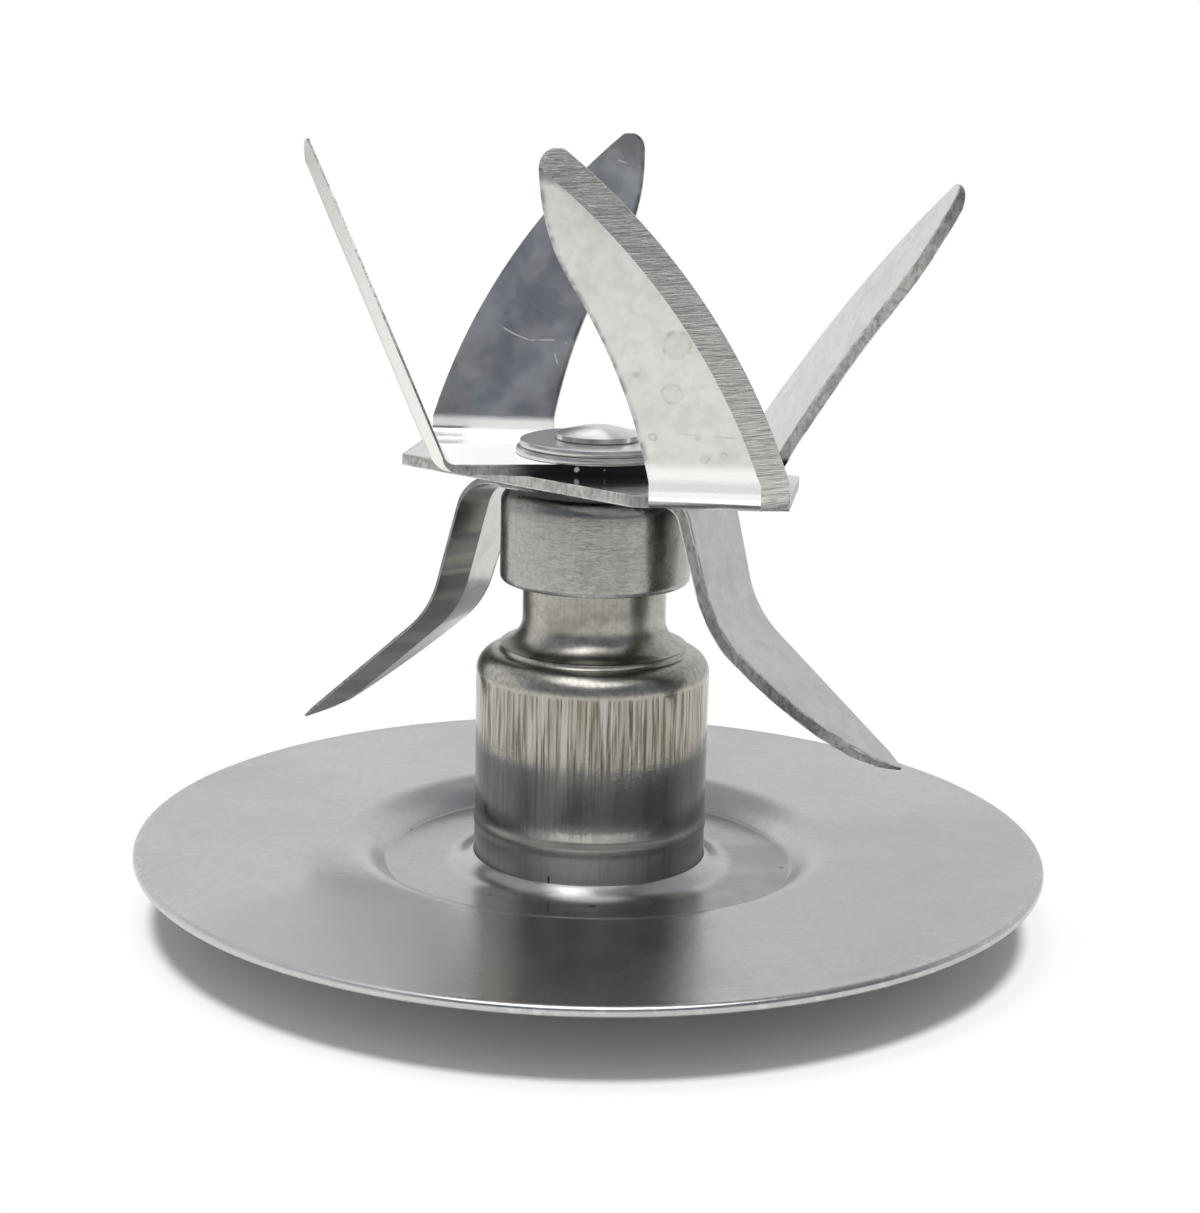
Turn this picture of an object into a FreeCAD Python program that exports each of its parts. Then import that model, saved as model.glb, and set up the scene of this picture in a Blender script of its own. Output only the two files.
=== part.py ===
import FreeCAD, Part
import Sketcher
import math
import os

# Blender blade assembly: a dished base plate carries a drawn bearing housing, and a riveted stack of
# three bent blades turns on one shaft. Millimetres, +Z up, origin on the shaft axis in the standing plane.

ORIGIN = -1
ORIGIN_POINT = 1
START = 1
END = 2
CENTRE = 3

SIZES = {
    # base plate
    "plate_radius": 38.0,
    "plate_thickness": 0.9,
    "plate_edge_round": 0.3,
    "dish_floor_radius": 17.1,
    "dish_wall_run": 1.6,
    "dish_depth": 1.7,
    "dish_wall_shift": 0.38,
    "collar_height": 0.45,
    "collar_land": 0.7,
    "collar_run": 0.9,
    # bearing housing
    "crimp_radius": 10.8,
    "crimp_thickness": 0.8,
    "spigot_radius": 8.9,
    "hub_foot_radius": 9.95,
    "hub_foot_height": 0.9,
    "hub_radius": 9.7,
    "bead_height": 3.8,
    "bead_width": 0.8,
    "bead_rise": 0.15,
    "hub_height": 16.25,
    "shoulder_round": 1.8,
    "groove_radius": 7.7,
    "groove_step": 0.5,
    "neck_round": 2.2,
    "neck_radius": 5.93,
    "neck_height": 29.8,
    "hub_bore_radius": 8.4,
    "neck_bore_radius": 4.9,
    "shell_wall": 1.2,
    # bearing parts
    "shaft_radius": 3.15,
    "running_clearance": 0.05,
    "press_clearance": 0.02,
    "lower_bush_length": 8.0,
    "wick_length": 6.5,
    "wick_clearance": 0.35,
    "upper_bush_length": 7.0,
    "seal_length": 2.2,
    "seal_lip_depth": 0.8,
    "seal_lip_edge": 0.4,
    "seal_inset": 0.2,
    "thrust_washer_thickness": 0.5,
    "thrust_washer_radius": 5.6,
    "slip_washer_radius": 5.2,
    "bottom_washer_thickness": 0.6,
    "bottom_washer_radius": 7.4,
    "ring_thickness": 0.6,
    "ring_radius": 4.9,
    "ring_groove_depth": 0.45,
    "ring_gap": 3.2,
    # drive coupling
    "coupling_radius": 8.2,
    "coupling_height": 2.4,
    "coupling_gap": 0.3,
    "coupling_socket": 4.6,
    "coupling_socket_depth": 1.2,
    "coupling_notch_radius": 1.5,
    "coupling_notch_count": 6,
    "shaft_seat_depth": 0.8,
    # slinger cap
    "cap_radius": 7.85,
    "cap_height": 7.6,
    "cap_wall": 0.8,
    "cap_round": 1.1,
    "cap_inner_round": 0.7,
    # blade stack
    "stud_radius": 2.6,
    "stud_clearance": 0.03,
    "blade_thickness": 0.95,
    "bend_radius": 0.9,
    "lower_blade_azimuth": -28.0,
    "lower_bend_radius": 1.4,
    "lower_blade_width": 9.4,
    "lower_bend_reach": 9.6,
    "lower_right_drop_angle": 76.0,
    "lower_right_drop_run": 6.1,
    "lower_right_flare_angle": 36.0,
    "lower_left_drop_angle": 75.3,
    "lower_left_drop_run": 8.0,
    "lower_left_flare_angle": 34.5,
    "lower_flare_radius": 9.0,
    "lower_arm_reach": 25.8,
    "lower_shoulder_reach": 8.6,
    "lower_edge_start": 12.0,
    "lower_edge_offset": 3.3,
    "lower_edge_radius": 13.1,
    "lower_tip_offset": 4.2,
    "middle_blade_azimuth": -93.0,
    "middle_blade_reach": 14.5,
    "middle_lean_angle": 10.5,
    "middle_arm_offset": 10.0,
    "middle_front_shift": -0.4,
    "middle_back_shift": 0.8,
    "middle_corner_reach": 2.6,
    "middle_corner_offset": 16.4,
    "upper_blade_azimuth": 9.0,
    "upper_left_reach": 13.1,
    "upper_right_reach": 13.8,
    "upper_right_lean_angle": 27.8,
    "upper_left_lean_angle": 22.5,
    "upper_arm_offset": 0.0,
    "upper_left_drop": 0.2,
    "upper_right_drop": 1.0,
    # outline of an upright blade, across and up from the middle of its bend
    "blade_root_half_width": 5.3,
    "blade_root_height": 1.9,
    "blade_height": 26.9,
    "outline_margin": 3.8,
    "blade_tip_offset": -11.4,
    "blade_heel_back": 1.9,
    "blade_heel_drop": 1.1,
    "blade_waist_back": 0.5,
    "blade_waist_drop": 8.4,
    "cutting_edge_radius": 53.0,
    "back_edge_radius": 45.0,
    "heel_edge_radius": 18.0,
    "tip_radius": 1.3,
    # rivet end of the shaft
    "washer_thickness": 0.6,
    "lower_washer_radius": 6.7,
    "upper_washer_radius": 6.4,
    "rivet_radius": 3.5,
    "rivet_rim": 0.35,
    "rivet_crown": 0.8,
    "rivet_dome_radius": 7.85,
    "rivet_flat_radius": 0.6,
}


class Size:
    """A length or angle with its value and the sheet expression that gives it."""

    def __init__(self, value, text):
        self.value = value
        self.text = text

    def __add__(self, other):
        other = as_size(other)
        return Size(self.value + other.value, "(%s + %s)" % (self.text, other.text))

    def __sub__(self, other):
        other = as_size(other)
        return Size(self.value - other.value, "(%s - %s)" % (self.text, other.text))

    def __mul__(self, other):
        other = as_size(other)
        return Size(self.value * other.value, "%s * %s" % (self.text, other.text))

    def __neg__(self):
        return Size(-self.value, "(0 - %s)" % self.text)


def as_size(number):
    if isinstance(number, Size):
        return number
    return Size(float(number), "(%s)" % repr(float(number)))


def sine(angle):
    return Size(math.sin(math.radians(angle.value)), "sin(%s)" % angle.text)


def cosine(angle):
    return Size(math.cos(math.radians(angle.value)), "cos(%s)" % angle.text)


def tangent(angle):
    return Size(math.tan(math.radians(angle.value)), "tan(%s)" % angle.text)


class Sizes:
    """Gives every cell of the sheet as a Size."""

    def __getattr__(self, name):
        return Size(SIZES[name], "Sizes.%s" % name)


S = Sizes()
ZERO = as_size(0)
RIGHT_ANGLE = as_size(90)

doc = FreeCAD.newDocument("BlenderBlade")


def make_sheet():
    sheet = doc.addObject("Spreadsheet::Sheet", "Sizes")
    for row, (name, value) in enumerate(SIZES.items(), start=1):
        sheet.set("A%d" % row, name)
        sheet.set("B%d" % row, str(value))
        sheet.setAlias("B%d" % row, name)
    doc.recompute()


def new_body(name, height=ZERO, azimuth=None):
    """A body whose own origin stands at a height on the shaft axis, turned by an azimuth."""
    body = doc.addObject("PartDesign::Body", name)
    body.Label = name
    angle = azimuth.value if azimuth else 0.0
    turn = FreeCAD.Rotation(FreeCAD.Vector(0, 0, 1), angle)
    body.Placement = FreeCAD.Placement(FreeCAD.Vector(0, 0, height.value), turn)
    body.setExpression("Placement.Base.z", height.text)
    if azimuth:
        body.setExpression("Placement.Rotation.Angle", azimuth.text)
    return body


def new_sketch(body, plane, name):
    sketch = body.newObject("Sketcher::SketchObject", name)
    for feature in body.Origin.OriginFeatures:
        if feature.Role == plane:
            sketch.AttachmentSupport = [(feature, "")]
    sketch.MapMode = "FlatFace"
    return sketch


def bind(sketch, kind, geometry, point, size):
    """Adds one distance or radius and ties it to the sheet."""
    if kind == "Radius":
        index = sketch.addConstraint(Sketcher.Constraint(kind, geometry, size.value))
    else:
        index = sketch.addConstraint(
            Sketcher.Constraint(kind, ORIGIN, ORIGIN_POINT, geometry, point, size.value)
        )
    sketch.setExpression("Constraints[%d]" % index, size.text)


def arc_through(start, end, radius, side):
    """The shorter arc between two points; side is 1 where it bulges left of the way from start to end."""
    middle = (start + end) * 0.5
    way = end - start
    left = FreeCAD.Vector(-way.y, way.x, 0).normalize()
    drop = math.sqrt(max(radius * radius - way.Length * way.Length / 4, 0))
    centre = middle - left * (side * drop)
    crown = centre + left * (side * radius)
    return Part.Arc(start, crown, end)


def loop(sketch, points, arcs=None):
    """A closed outline through pairs of Sizes; arcs[i] = (radius, side) rounds the way from i to i + 1."""
    arcs = arcs or {}
    vectors = [FreeCAD.Vector(x.value, y.value, 0) for x, y in points]
    count = len(points)
    pieces = []
    for i in range(count):
        start = vectors[i]
        end = vectors[(i + 1) % count]
        if i in arcs:
            radius, side = arcs[i]
            curve = arc_through(start, end, radius.value, side)
            geometry = sketch.addGeometry(curve, False)
            forward = sketch.getPoint(geometry, START).isEqual(start, 1e-6)
            pieces.append((geometry, START if forward else END, END if forward else START))
        else:
            geometry = sketch.addGeometry(Part.LineSegment(start, end), False)
            pieces.append((geometry, START, END))
    for i in range(count):
        geometry, first, last = pieces[i]
        following, following_first, following_last = pieces[(i + 1) % count]
        sketch.addConstraint(Sketcher.Constraint("Coincident", geometry, last, following, following_first))
    for i, (x, y) in enumerate(points):
        geometry, first, last = pieces[i]
        bind(sketch, "DistanceX", geometry, first, x)
        bind(sketch, "DistanceY", geometry, first, y)
    for i, (radius, side) in arcs.items():
        bind(sketch, "Radius", pieces[i][0], 0, radius)


def circle(sketch, radius, across=ZERO):
    """A circle whose centre lies across from the sketch's origin."""
    centre = FreeCAD.Vector(across.value, 0, 0)
    geometry = sketch.addGeometry(Part.Circle(centre, FreeCAD.Vector(0, 0, 1), radius.value), False)
    bind(sketch, "DistanceX", geometry, CENTRE, across)
    bind(sketch, "DistanceY", geometry, CENTRE, ZERO)
    bind(sketch, "Radius", geometry, 0, radius)


def turned(name, height, points, arcs=None):
    """A piece turned about the shaft axis from its half section, (radius, height) by (radius, height)."""
    body = new_body(name, height)
    sketch = new_sketch(body, "XZ_Plane", name + "_section")
    loop(sketch, points, arcs)
    solid = body.newObject("PartDesign::Revolution", name + "_turned")
    solid.Profile = sketch
    solid.ReferenceAxis = (sketch, ["V_Axis"])
    solid.Angle = 360
    sketch.Visibility = False
    doc.recompute()
    return body


def ring(name, height, inner, outer, thickness):
    return turned(name, height, [(inner, ZERO), (outer, ZERO), (outer, thickness), (inner, thickness)])


def cut(body, sketch, length, upward, symmetric=False):
    """A pocket from a sketch; upward cuts along the sketch's normal."""
    before = body.Shape.Volume
    pocket = body.newObject("PartDesign::Pocket", sketch.Name + "_cut")
    pocket.Profile = sketch
    if symmetric:
        pocket.SideType = "Symmetric"
    pocket.Length = length.value
    pocket.setExpression("Length", length.text)
    pocket.Reversed = upward
    sketch.Visibility = False
    doc.recompute()
    if body.Shape.Volume >= before:
        raise RuntimeError(sketch.Name + " cuts nothing")
    return pocket


# heights on the shaft axis, from the standing plane up
housing_base = S.coupling_height + S.coupling_gap
dish_underside = housing_base + S.crimp_thickness
dish_floor = dish_underside + S.plate_thickness
neck_top = dish_floor + S.neck_height
cap_ceiling = neck_top + S.thrust_washer_thickness + S.thrust_washer_thickness
cap_top = cap_ceiling + S.cap_wall
lower_blade_seat = cap_top
middle_blade_seat = lower_blade_seat + S.blade_thickness
upper_blade_seat = middle_blade_seat + S.blade_thickness
washer_seat = upper_blade_seat + S.blade_thickness
rivet_seat = washer_seat + S.washer_thickness + S.washer_thickness
ring_seat = housing_base + S.coupling_gap
bottom_washer_seat = ring_seat + S.ring_thickness
lower_bush_seat = bottom_washer_seat + S.bottom_washer_thickness
wick_seat = lower_bush_seat + S.lower_bush_length
bore_radius = S.shaft_radius + S.running_clearance


def make_base_plate():
    t = S.plate_thickness
    hole = S.spigot_radius + S.press_clearance
    land = S.hub_foot_radius + S.press_clearance
    top = S.dish_depth
    wall_foot = S.dish_floor_radius
    wall_head = S.dish_floor_radius + S.dish_wall_run
    edge = S.plate_edge_round
    rim = S.plate_radius
    turned("base_plate", dish_underside, [
        (hole, ZERO),
        (wall_foot + S.dish_wall_shift, ZERO),
        (wall_head + S.dish_wall_shift, top),
        (rim - edge, top),
        (rim, top + edge),
        (rim, top + t - edge),
        (rim - edge, top + t),
        (wall_head, top + t),
        (wall_foot, t),
        (land + S.collar_land + S.collar_run, t),
        (land + S.collar_land, t + S.collar_height),
        (land, t + S.collar_height),
        (land, t),
        (hole, t),
    ])


def make_bearing_housing():
    crimp = S.crimp_thickness
    floor = crimp + S.plate_thickness
    foot = floor + S.hub_foot_height
    bead = floor + S.bead_height
    shoulder = floor + S.hub_height
    shoulder_top = shoulder + S.shoulder_round
    groove_top = shoulder_top + S.groove_step
    neck_start = groove_top + S.neck_round
    top = floor + S.neck_height
    web = shoulder_top - S.shell_wall
    points = [
        (S.hub_bore_radius, ZERO),
        (S.crimp_radius, ZERO),
        (S.crimp_radius, crimp),
        (S.spigot_radius, crimp),
        (S.spigot_radius, floor),
        (S.hub_foot_radius, floor),
        (S.hub_foot_radius, floor + S.collar_height),
        (S.hub_radius, foot),
        (S.hub_radius, bead - S.bead_width * 0.5),
        (S.hub_radius + S.bead_rise, bead),
        (S.hub_radius, bead + S.bead_width * 0.5),
        (S.hub_radius, shoulder),
        (S.hub_radius - S.shoulder_round, shoulder_top),
        (S.groove_radius, shoulder_top),
        (S.groove_radius, groove_top),
        (S.neck_radius, neck_start),
        (S.neck_radius, top),
        (S.neck_bore_radius, top),
        (S.neck_bore_radius, web),
        (S.hub_bore_radius, web),
    ]
    turned("bearing_housing", housing_base, points, {11: (S.shoulder_round, -1), 14: (S.neck_round, 1)})


def make_bearing_parts():
    wick_bore = S.shaft_radius + S.wick_clearance
    hub_fit = S.hub_bore_radius - S.press_clearance
    ring("lower_bush", lower_bush_seat, bore_radius, hub_fit, S.lower_bush_length)
    ring("oil_wick", wick_seat, wick_bore, S.hub_bore_radius - S.wick_clearance, S.wick_length)
    neck_fit = S.neck_bore_radius - S.press_clearance
    seal_seat = neck_top - S.seal_inset - S.seal_length
    bush_seat = seal_seat - S.upper_bush_length
    ring("upper_bush", bush_seat, bore_radius, neck_fit, S.upper_bush_length)
    lip = S.shaft_radius + S.wick_clearance
    turned("shaft_seal", seal_seat, [
        (lip, ZERO),
        (neck_fit, ZERO),
        (neck_fit, S.seal_length),
        (neck_fit - S.seal_lip_depth, S.seal_length),
        (neck_fit - S.seal_lip_depth, S.seal_lip_depth),
        (bore_radius + S.running_clearance, S.seal_length),
        (bore_radius, S.seal_length - S.seal_lip_edge),
    ])
    ring("neck_thrust_washer", neck_top, bore_radius, S.thrust_washer_radius, S.thrust_washer_thickness)


def make_shaft():
    groove_floor = S.shaft_radius - S.ring_groove_depth
    foot = S.coupling_height - S.shaft_seat_depth
    r = S.shaft_radius
    stud = S.stud_radius
    head = rivet_seat + S.rivet_rim
    points = [
        (ZERO, foot),
        (r, foot),
        (r, ring_seat),
        (groove_floor, ring_seat),
        (groove_floor, bottom_washer_seat),
        (r, bottom_washer_seat),
        (r, cap_ceiling),
        (stud, cap_ceiling),
        (stud, rivet_seat),
        (S.rivet_radius, rivet_seat),
        (S.rivet_radius, head),
        (S.rivet_flat_radius, head + S.rivet_crown),
        (ZERO, head + S.rivet_crown),
    ]
    turned("shaft", ZERO, points, {10: (S.rivet_dome_radius, -1)})


def make_rotor_parts():
    fit = S.shaft_radius + S.press_clearance
    groove_fit = S.shaft_radius - S.ring_groove_depth + S.press_clearance
    ring("bottom_thrust_washer", bottom_washer_seat, fit, S.bottom_washer_radius, S.bottom_washer_thickness)
    slip_seat = neck_top + S.thrust_washer_thickness
    ring("slip_washer", slip_seat, fit, S.slip_washer_radius, S.thrust_washer_thickness)
    stud_fit = S.stud_radius + S.stud_clearance
    ring("lower_top_washer", washer_seat, stud_fit, S.lower_washer_radius, S.washer_thickness)
    upper_seat = washer_seat + S.washer_thickness
    ring("upper_top_washer", upper_seat, stud_fit, S.upper_washer_radius, S.washer_thickness)
    body = ring("retaining_ring", ring_seat, groove_fit, S.ring_radius, S.ring_thickness)
    mouth = new_sketch(body, "XY_Plane", "retaining_ring_mouth")
    half = S.ring_gap * 0.5
    reach = S.ring_radius + S.ring_thickness
    loop(mouth, [(ZERO, -half), (reach, -half), (reach, half), (ZERO, half)])
    cut(body, mouth, S.ring_thickness, True)


def make_slinger_cap():
    wall = S.cap_wall
    height = S.cap_height
    r = S.cap_radius
    inner_round = S.cap_inner_round
    points = [
        (S.stud_radius + S.stud_clearance, height),
        (r - S.cap_round, height),
        (r, height - S.cap_round),
        (r, ZERO),
        (r - wall, ZERO),
        (r - wall, height - wall - inner_round),
        (r - wall - inner_round, height - wall),
        (S.stud_radius + S.stud_clearance, height - wall),
    ]
    arcs = {1: (S.cap_round, 1), 5: (inner_round, -1)}
    turned("slinger_cap", cap_top - S.cap_height, points, arcs)


def make_coupling():
    socket_floor = S.coupling_socket_depth
    seat = S.coupling_height - S.shaft_seat_depth
    fit = S.shaft_radius + S.press_clearance
    edge = S.plate_edge_round
    body = turned("drive_coupling", ZERO, [
        (ZERO, ZERO),
        (S.coupling_radius - edge, ZERO),
        (S.coupling_radius, edge),
        (S.coupling_radius, S.coupling_height - edge),
        (S.coupling_radius - edge, S.coupling_height),
        (fit, S.coupling_height),
        (fit, seat),
        (ZERO, seat),
    ])
    socket = new_sketch(body, "XY_Plane", "coupling_socket")
    half = S.coupling_socket * 0.5
    loop(socket, [(-half, -half), (half, -half), (half, half), (-half, half)])
    cut(body, socket, socket_floor, True)
    notch = new_sketch(body, "XY_Plane", "coupling_notch")
    circle(notch, S.coupling_notch_radius, S.coupling_radius)
    tooth_gap = cut(body, notch, S.coupling_height, True)
    pattern = body.newObject("PartDesign::PolarPattern", "coupling_notches")
    pattern.Originals = [tooth_gap]
    pattern.Axis = (notch, ["N_Axis"])
    pattern.Angle = 360
    pattern.Occurrences = int(S.coupling_notch_count.value)
    pattern.setExpression("Occurrences", S.coupling_notch_count.text)
    body.Tip = pattern
    doc.recompute()


def arm_section(steps, mirror):
    """Follows one arm of a bent strip outwards from the axis, and gives its lower and upper edges.

    A step is (run, turn, radius): a straight run, then a bend by an angle on the strip's middle line.
    """
    half = S.blade_thickness * 0.5
    x, z, heading = ZERO, half, ZERO
    lower, upper, bends = [], [], []
    for run, turn, radius in steps:
        x = x + run * cosine(heading)
        z = z + run * sine(heading)
        lower.append((x + half * sine(heading), z - half * cosine(heading)))
        upper.append((x - half * sine(heading), z + half * cosine(heading)))
        if turn is None:
            continue
        rises = turn.value > 0
        bends.append((len(lower) - 1, radius, rises))
        bowed = radius if rises else -radius
        x = x - bowed * sine(heading)
        z = z + bowed * cosine(heading)
        heading = heading + turn
        x = x + bowed * sine(heading)
        z = z - bowed * cosine(heading)
        lower.append((x + half * sine(heading), z - half * cosine(heading)))
        upper.append((x - half * sine(heading), z + half * cosine(heading)))
    if mirror:
        lower = [(-x, z) for x, z in lower]
        upper = [(-x, z) for x, z in upper]
    return lower, upper, bends


def bent_strip(name, seat, azimuth, right_steps, left_steps, width):
    """A strip bent at both ends, in one piece, before its outline is cut."""
    half = S.blade_thickness * 0.5
    body = new_body(name, seat, azimuth)
    sketch = new_sketch(body, "XZ_Plane", name + "_section")
    lower, upper, bends = arm_section(right_steps, False)
    left_lower, left_upper, left_bends = arm_section(left_steps, True)
    points = lower + upper[::-1] + left_upper + left_lower[::-1]
    arcs = {}
    right = len(lower)
    left = len(left_lower)
    last = 2 * right + 2 * left - 1
    for i, radius, rises in bends:
        arcs[i] = (radius + half if rises else radius - half, -1 if rises else 1)
        arcs[2 * right - 2 - i] = (radius - half if rises else radius + half, 1 if rises else -1)
    for i, radius, rises in left_bends:
        arcs[2 * right + i] = (radius - half if rises else radius + half, 1 if rises else -1)
        arcs[last - 1 - i] = (radius + half if rises else radius - half, -1 if rises else 1)
    loop(sketch, points, arcs)
    pad = body.newObject("PartDesign::Pad", name + "_strip")
    pad.Profile = sketch
    pad.SideType = "Symmetric"
    pad.Length = width.value
    pad.setExpression("Length", width.text)
    sketch.Visibility = False
    doc.recompute()
    hole = new_sketch(body, "XY_Plane", name + "_hole")
    circle(hole, S.stud_radius + S.stud_clearance)
    cut(body, hole, S.blade_thickness, True)
    return body


def frame_points(reach):
    return [(-reach, -reach), (reach, -reach), (reach, reach), (-reach, reach)]


def up_steps(reach, lean, height):
    """A flat run to the bend, and an upright that leans outwards."""
    turn = RIGHT_ANGLE - lean
    radius = S.bend_radius + S.blade_thickness * 0.5
    tail = radius * tangent(turn * 0.5)
    return [(reach - tail, turn, radius), (height - tail, None, None)]


def cut_upright(body, name, side, lean, offset, drop=ZERO, shift=ZERO):
    """Cuts an upright to its scimitar outline, shorter by a drop and with its tip shifted across."""
    rise = cosine(lean)
    middle = S.blade_thickness * 0.5
    span = S.middle_corner_offset + S.blade_height
    top = S.blade_height + S.outline_margin
    height = S.blade_height - drop
    tip = offset + S.blade_tip_offset + shift

    def at(across, up):
        return (across if side > 0 else -across, middle + up * rise)

    points = [
        at(-span, S.blade_root_height),
        at(offset - S.blade_root_half_width, S.blade_root_height),
        at(tip - S.blade_waist_back - shift * 0.5, height - S.blade_waist_drop),
        at(tip - S.blade_heel_back, height - S.blade_heel_drop),
        at(tip, height),
        at(offset + S.blade_root_half_width, S.blade_root_height),
        at(span, S.blade_root_height),
        at(span, top),
        at(-span, top),
    ]
    arcs = {
        1: (S.back_edge_radius, -side),
        2: (S.heel_edge_radius, side),
        3: (S.tip_radius, side),
        4: (S.cutting_edge_radius, side),
    }
    sketch = new_sketch(body, "YZ_Plane", name)
    loop(sketch, points, arcs)
    cut(body, sketch, S.blade_height + S.middle_blade_reach + S.blade_height, side > 0)


def plan_sketch(body, name, outline, arcs=None):
    """A plan outline inside a wide frame, so that a pocket takes away all that lies between them."""
    reach = S.middle_corner_offset + S.blade_height + S.blade_height
    sketch = new_sketch(body, "XY_Plane", name)
    loop(sketch, frame_points(reach))
    loop(sketch, outline, arcs)
    return sketch


def opposite(points):
    return [(-x, -y) for x, y in points]


def down_steps(drop, run, flare):
    """A flat run to the bend, a steep drop, and a flare that turns outwards again."""
    radius = S.lower_bend_radius + S.blade_thickness * 0.5
    tail = radius * tangent(drop * 0.5)
    return [
        (S.lower_bend_reach - tail, -drop, radius),
        (run, flare, S.lower_flare_radius),
        (S.lower_arm_reach - S.lower_bend_reach, None, None),
    ]


def make_lower_blade():
    right = down_steps(S.lower_right_drop_angle, S.lower_right_drop_run, S.lower_right_flare_angle)
    left = down_steps(S.lower_left_drop_angle, S.lower_left_drop_run, S.lower_left_flare_angle)
    width = S.lower_blade_width + S.lower_blade_width
    body = bent_strip("lower_blade", lower_blade_seat, S.lower_blade_azimuth, right, left, width)
    half = S.lower_blade_width * 0.5
    arm = [
        (S.lower_shoulder_reach, -half),
        (S.lower_edge_start, -S.lower_edge_offset),
        (S.lower_arm_reach, S.lower_tip_offset),
        (S.lower_arm_reach - S.blade_thickness, half),
    ]
    outline = arm + opposite(arm)
    rounded = (S.lower_edge_radius, -1)
    sketch = plan_sketch(body, "lower_blade_plan", outline, {1: rounded, 5: rounded})
    cut(body, sketch, S.blade_height + S.blade_height, True, True)


def make_middle_blade():
    steps = up_steps(S.middle_blade_reach, S.middle_lean_angle, S.blade_height + S.blade_thickness)
    width = S.middle_corner_offset + S.middle_corner_offset + S.blade_thickness
    body = bent_strip("middle_blade", middle_blade_seat, S.middle_blade_azimuth, steps, steps, width)
    reach = S.middle_blade_reach + S.blade_thickness
    inner = S.middle_arm_offset - S.blade_root_half_width
    outer = S.middle_arm_offset + S.blade_root_half_width
    half_plan = [(reach, inner), (reach, outer), (S.middle_corner_reach, S.middle_corner_offset)]
    sketch = plan_sketch(body, "middle_blade_plan", half_plan + opposite(half_plan))
    cut(body, sketch, S.blade_root_height + S.blade_thickness, True)
    lean = S.middle_lean_angle
    offset = S.middle_arm_offset
    cut_upright(body, "middle_blade_front", 1, lean, offset, ZERO, S.middle_front_shift)
    cut_upright(body, "middle_blade_back", -1, lean, offset, ZERO, S.middle_back_shift)


def make_upper_blade():
    height = S.blade_height + S.blade_thickness
    right = up_steps(S.upper_right_reach, S.upper_right_lean_angle, height)
    left = up_steps(S.upper_left_reach, S.upper_left_lean_angle, height)
    width = S.middle_corner_offset + S.middle_corner_offset
    body = bent_strip("upper_blade", upper_blade_seat, S.upper_blade_azimuth, right, left, width)
    reach = S.upper_right_reach + S.blade_height
    half = S.blade_root_half_width
    outline = [(reach, -half), (reach, half), (-reach, half), (-reach, -half)]
    sketch = plan_sketch(body, "upper_blade_plan", outline)
    cut(body, sketch, S.blade_root_height + S.blade_thickness, True)
    cut_upright(body, "upper_blade_right", 1, S.upper_right_lean_angle, S.upper_arm_offset, S.upper_right_drop)
    cut_upright(body, "upper_blade_left", -1, S.upper_left_lean_angle, S.upper_arm_offset, S.upper_left_drop)


def check_document():
    for item in doc.Objects:
        if "Invalid" in item.State or "Error" in item.State:
            raise RuntimeError(item.Name + " failed to compute")


def write_parts():
    os.makedirs("parts", exist_ok=True)
    for body in doc.findObjects("PartDesign::Body"):
        shape = body.Shape
        if shape.isNull() or not shape.isValid() or not shape.Solids:
            raise RuntimeError(body.Label + " has no valid solid")
        box = shape.BoundBox
        extents = (box.ZMin, box.ZMax, box.XMin, box.XMax, box.YMin, box.YMax)
        print("%-22s %d solid" % (body.Label, len(shape.Solids)), "z %7.2f %7.2f x %7.2f %7.2f y %7.2f %7.2f" % extents)
        shape.exportStep("parts/%s.step" % body.Label)


make_sheet()
make_base_plate()
make_bearing_housing()
make_bearing_parts()
make_shaft()
make_rotor_parts()
make_slinger_cap()
make_coupling()
make_lower_blade()
make_middle_blade()
make_upper_blade()
doc.recompute()
check_document()
write_parts()
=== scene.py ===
"""Dressed model of a blender blade assembly: base plate, bearing hub, slinger cap and three bent blades."""

import functools
import math

import bmesh
import bpy
from bpy.props import FloatProperty, FloatVectorProperty, IntProperty, PointerProperty
from mathutils import Matrix, Vector


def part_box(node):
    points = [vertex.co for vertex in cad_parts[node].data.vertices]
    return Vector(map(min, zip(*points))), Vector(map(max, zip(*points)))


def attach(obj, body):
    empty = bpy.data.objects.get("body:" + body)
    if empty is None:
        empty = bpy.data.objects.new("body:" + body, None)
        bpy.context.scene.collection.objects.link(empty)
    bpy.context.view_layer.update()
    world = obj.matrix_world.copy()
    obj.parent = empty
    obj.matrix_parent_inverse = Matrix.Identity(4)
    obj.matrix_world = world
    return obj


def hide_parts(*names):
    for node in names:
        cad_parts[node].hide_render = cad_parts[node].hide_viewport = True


bl_info = {
    "name": "Blender Blade Assembly",
    "version": (1, 0, 0),
    "blender": (4, 5, 0),
    "location": "3D View > Sidebar > Blade Assembly",
    "description": "Builds a blender's blade assembly piece by piece",
    "category": "Object",
}

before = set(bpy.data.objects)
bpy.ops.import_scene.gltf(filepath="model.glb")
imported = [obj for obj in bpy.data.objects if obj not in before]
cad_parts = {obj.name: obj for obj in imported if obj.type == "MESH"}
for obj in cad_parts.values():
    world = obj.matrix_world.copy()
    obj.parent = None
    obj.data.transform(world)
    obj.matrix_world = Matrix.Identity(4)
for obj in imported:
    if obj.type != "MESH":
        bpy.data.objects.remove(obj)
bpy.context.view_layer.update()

MM = 0.001


# Sizes and colours a user would change


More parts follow.
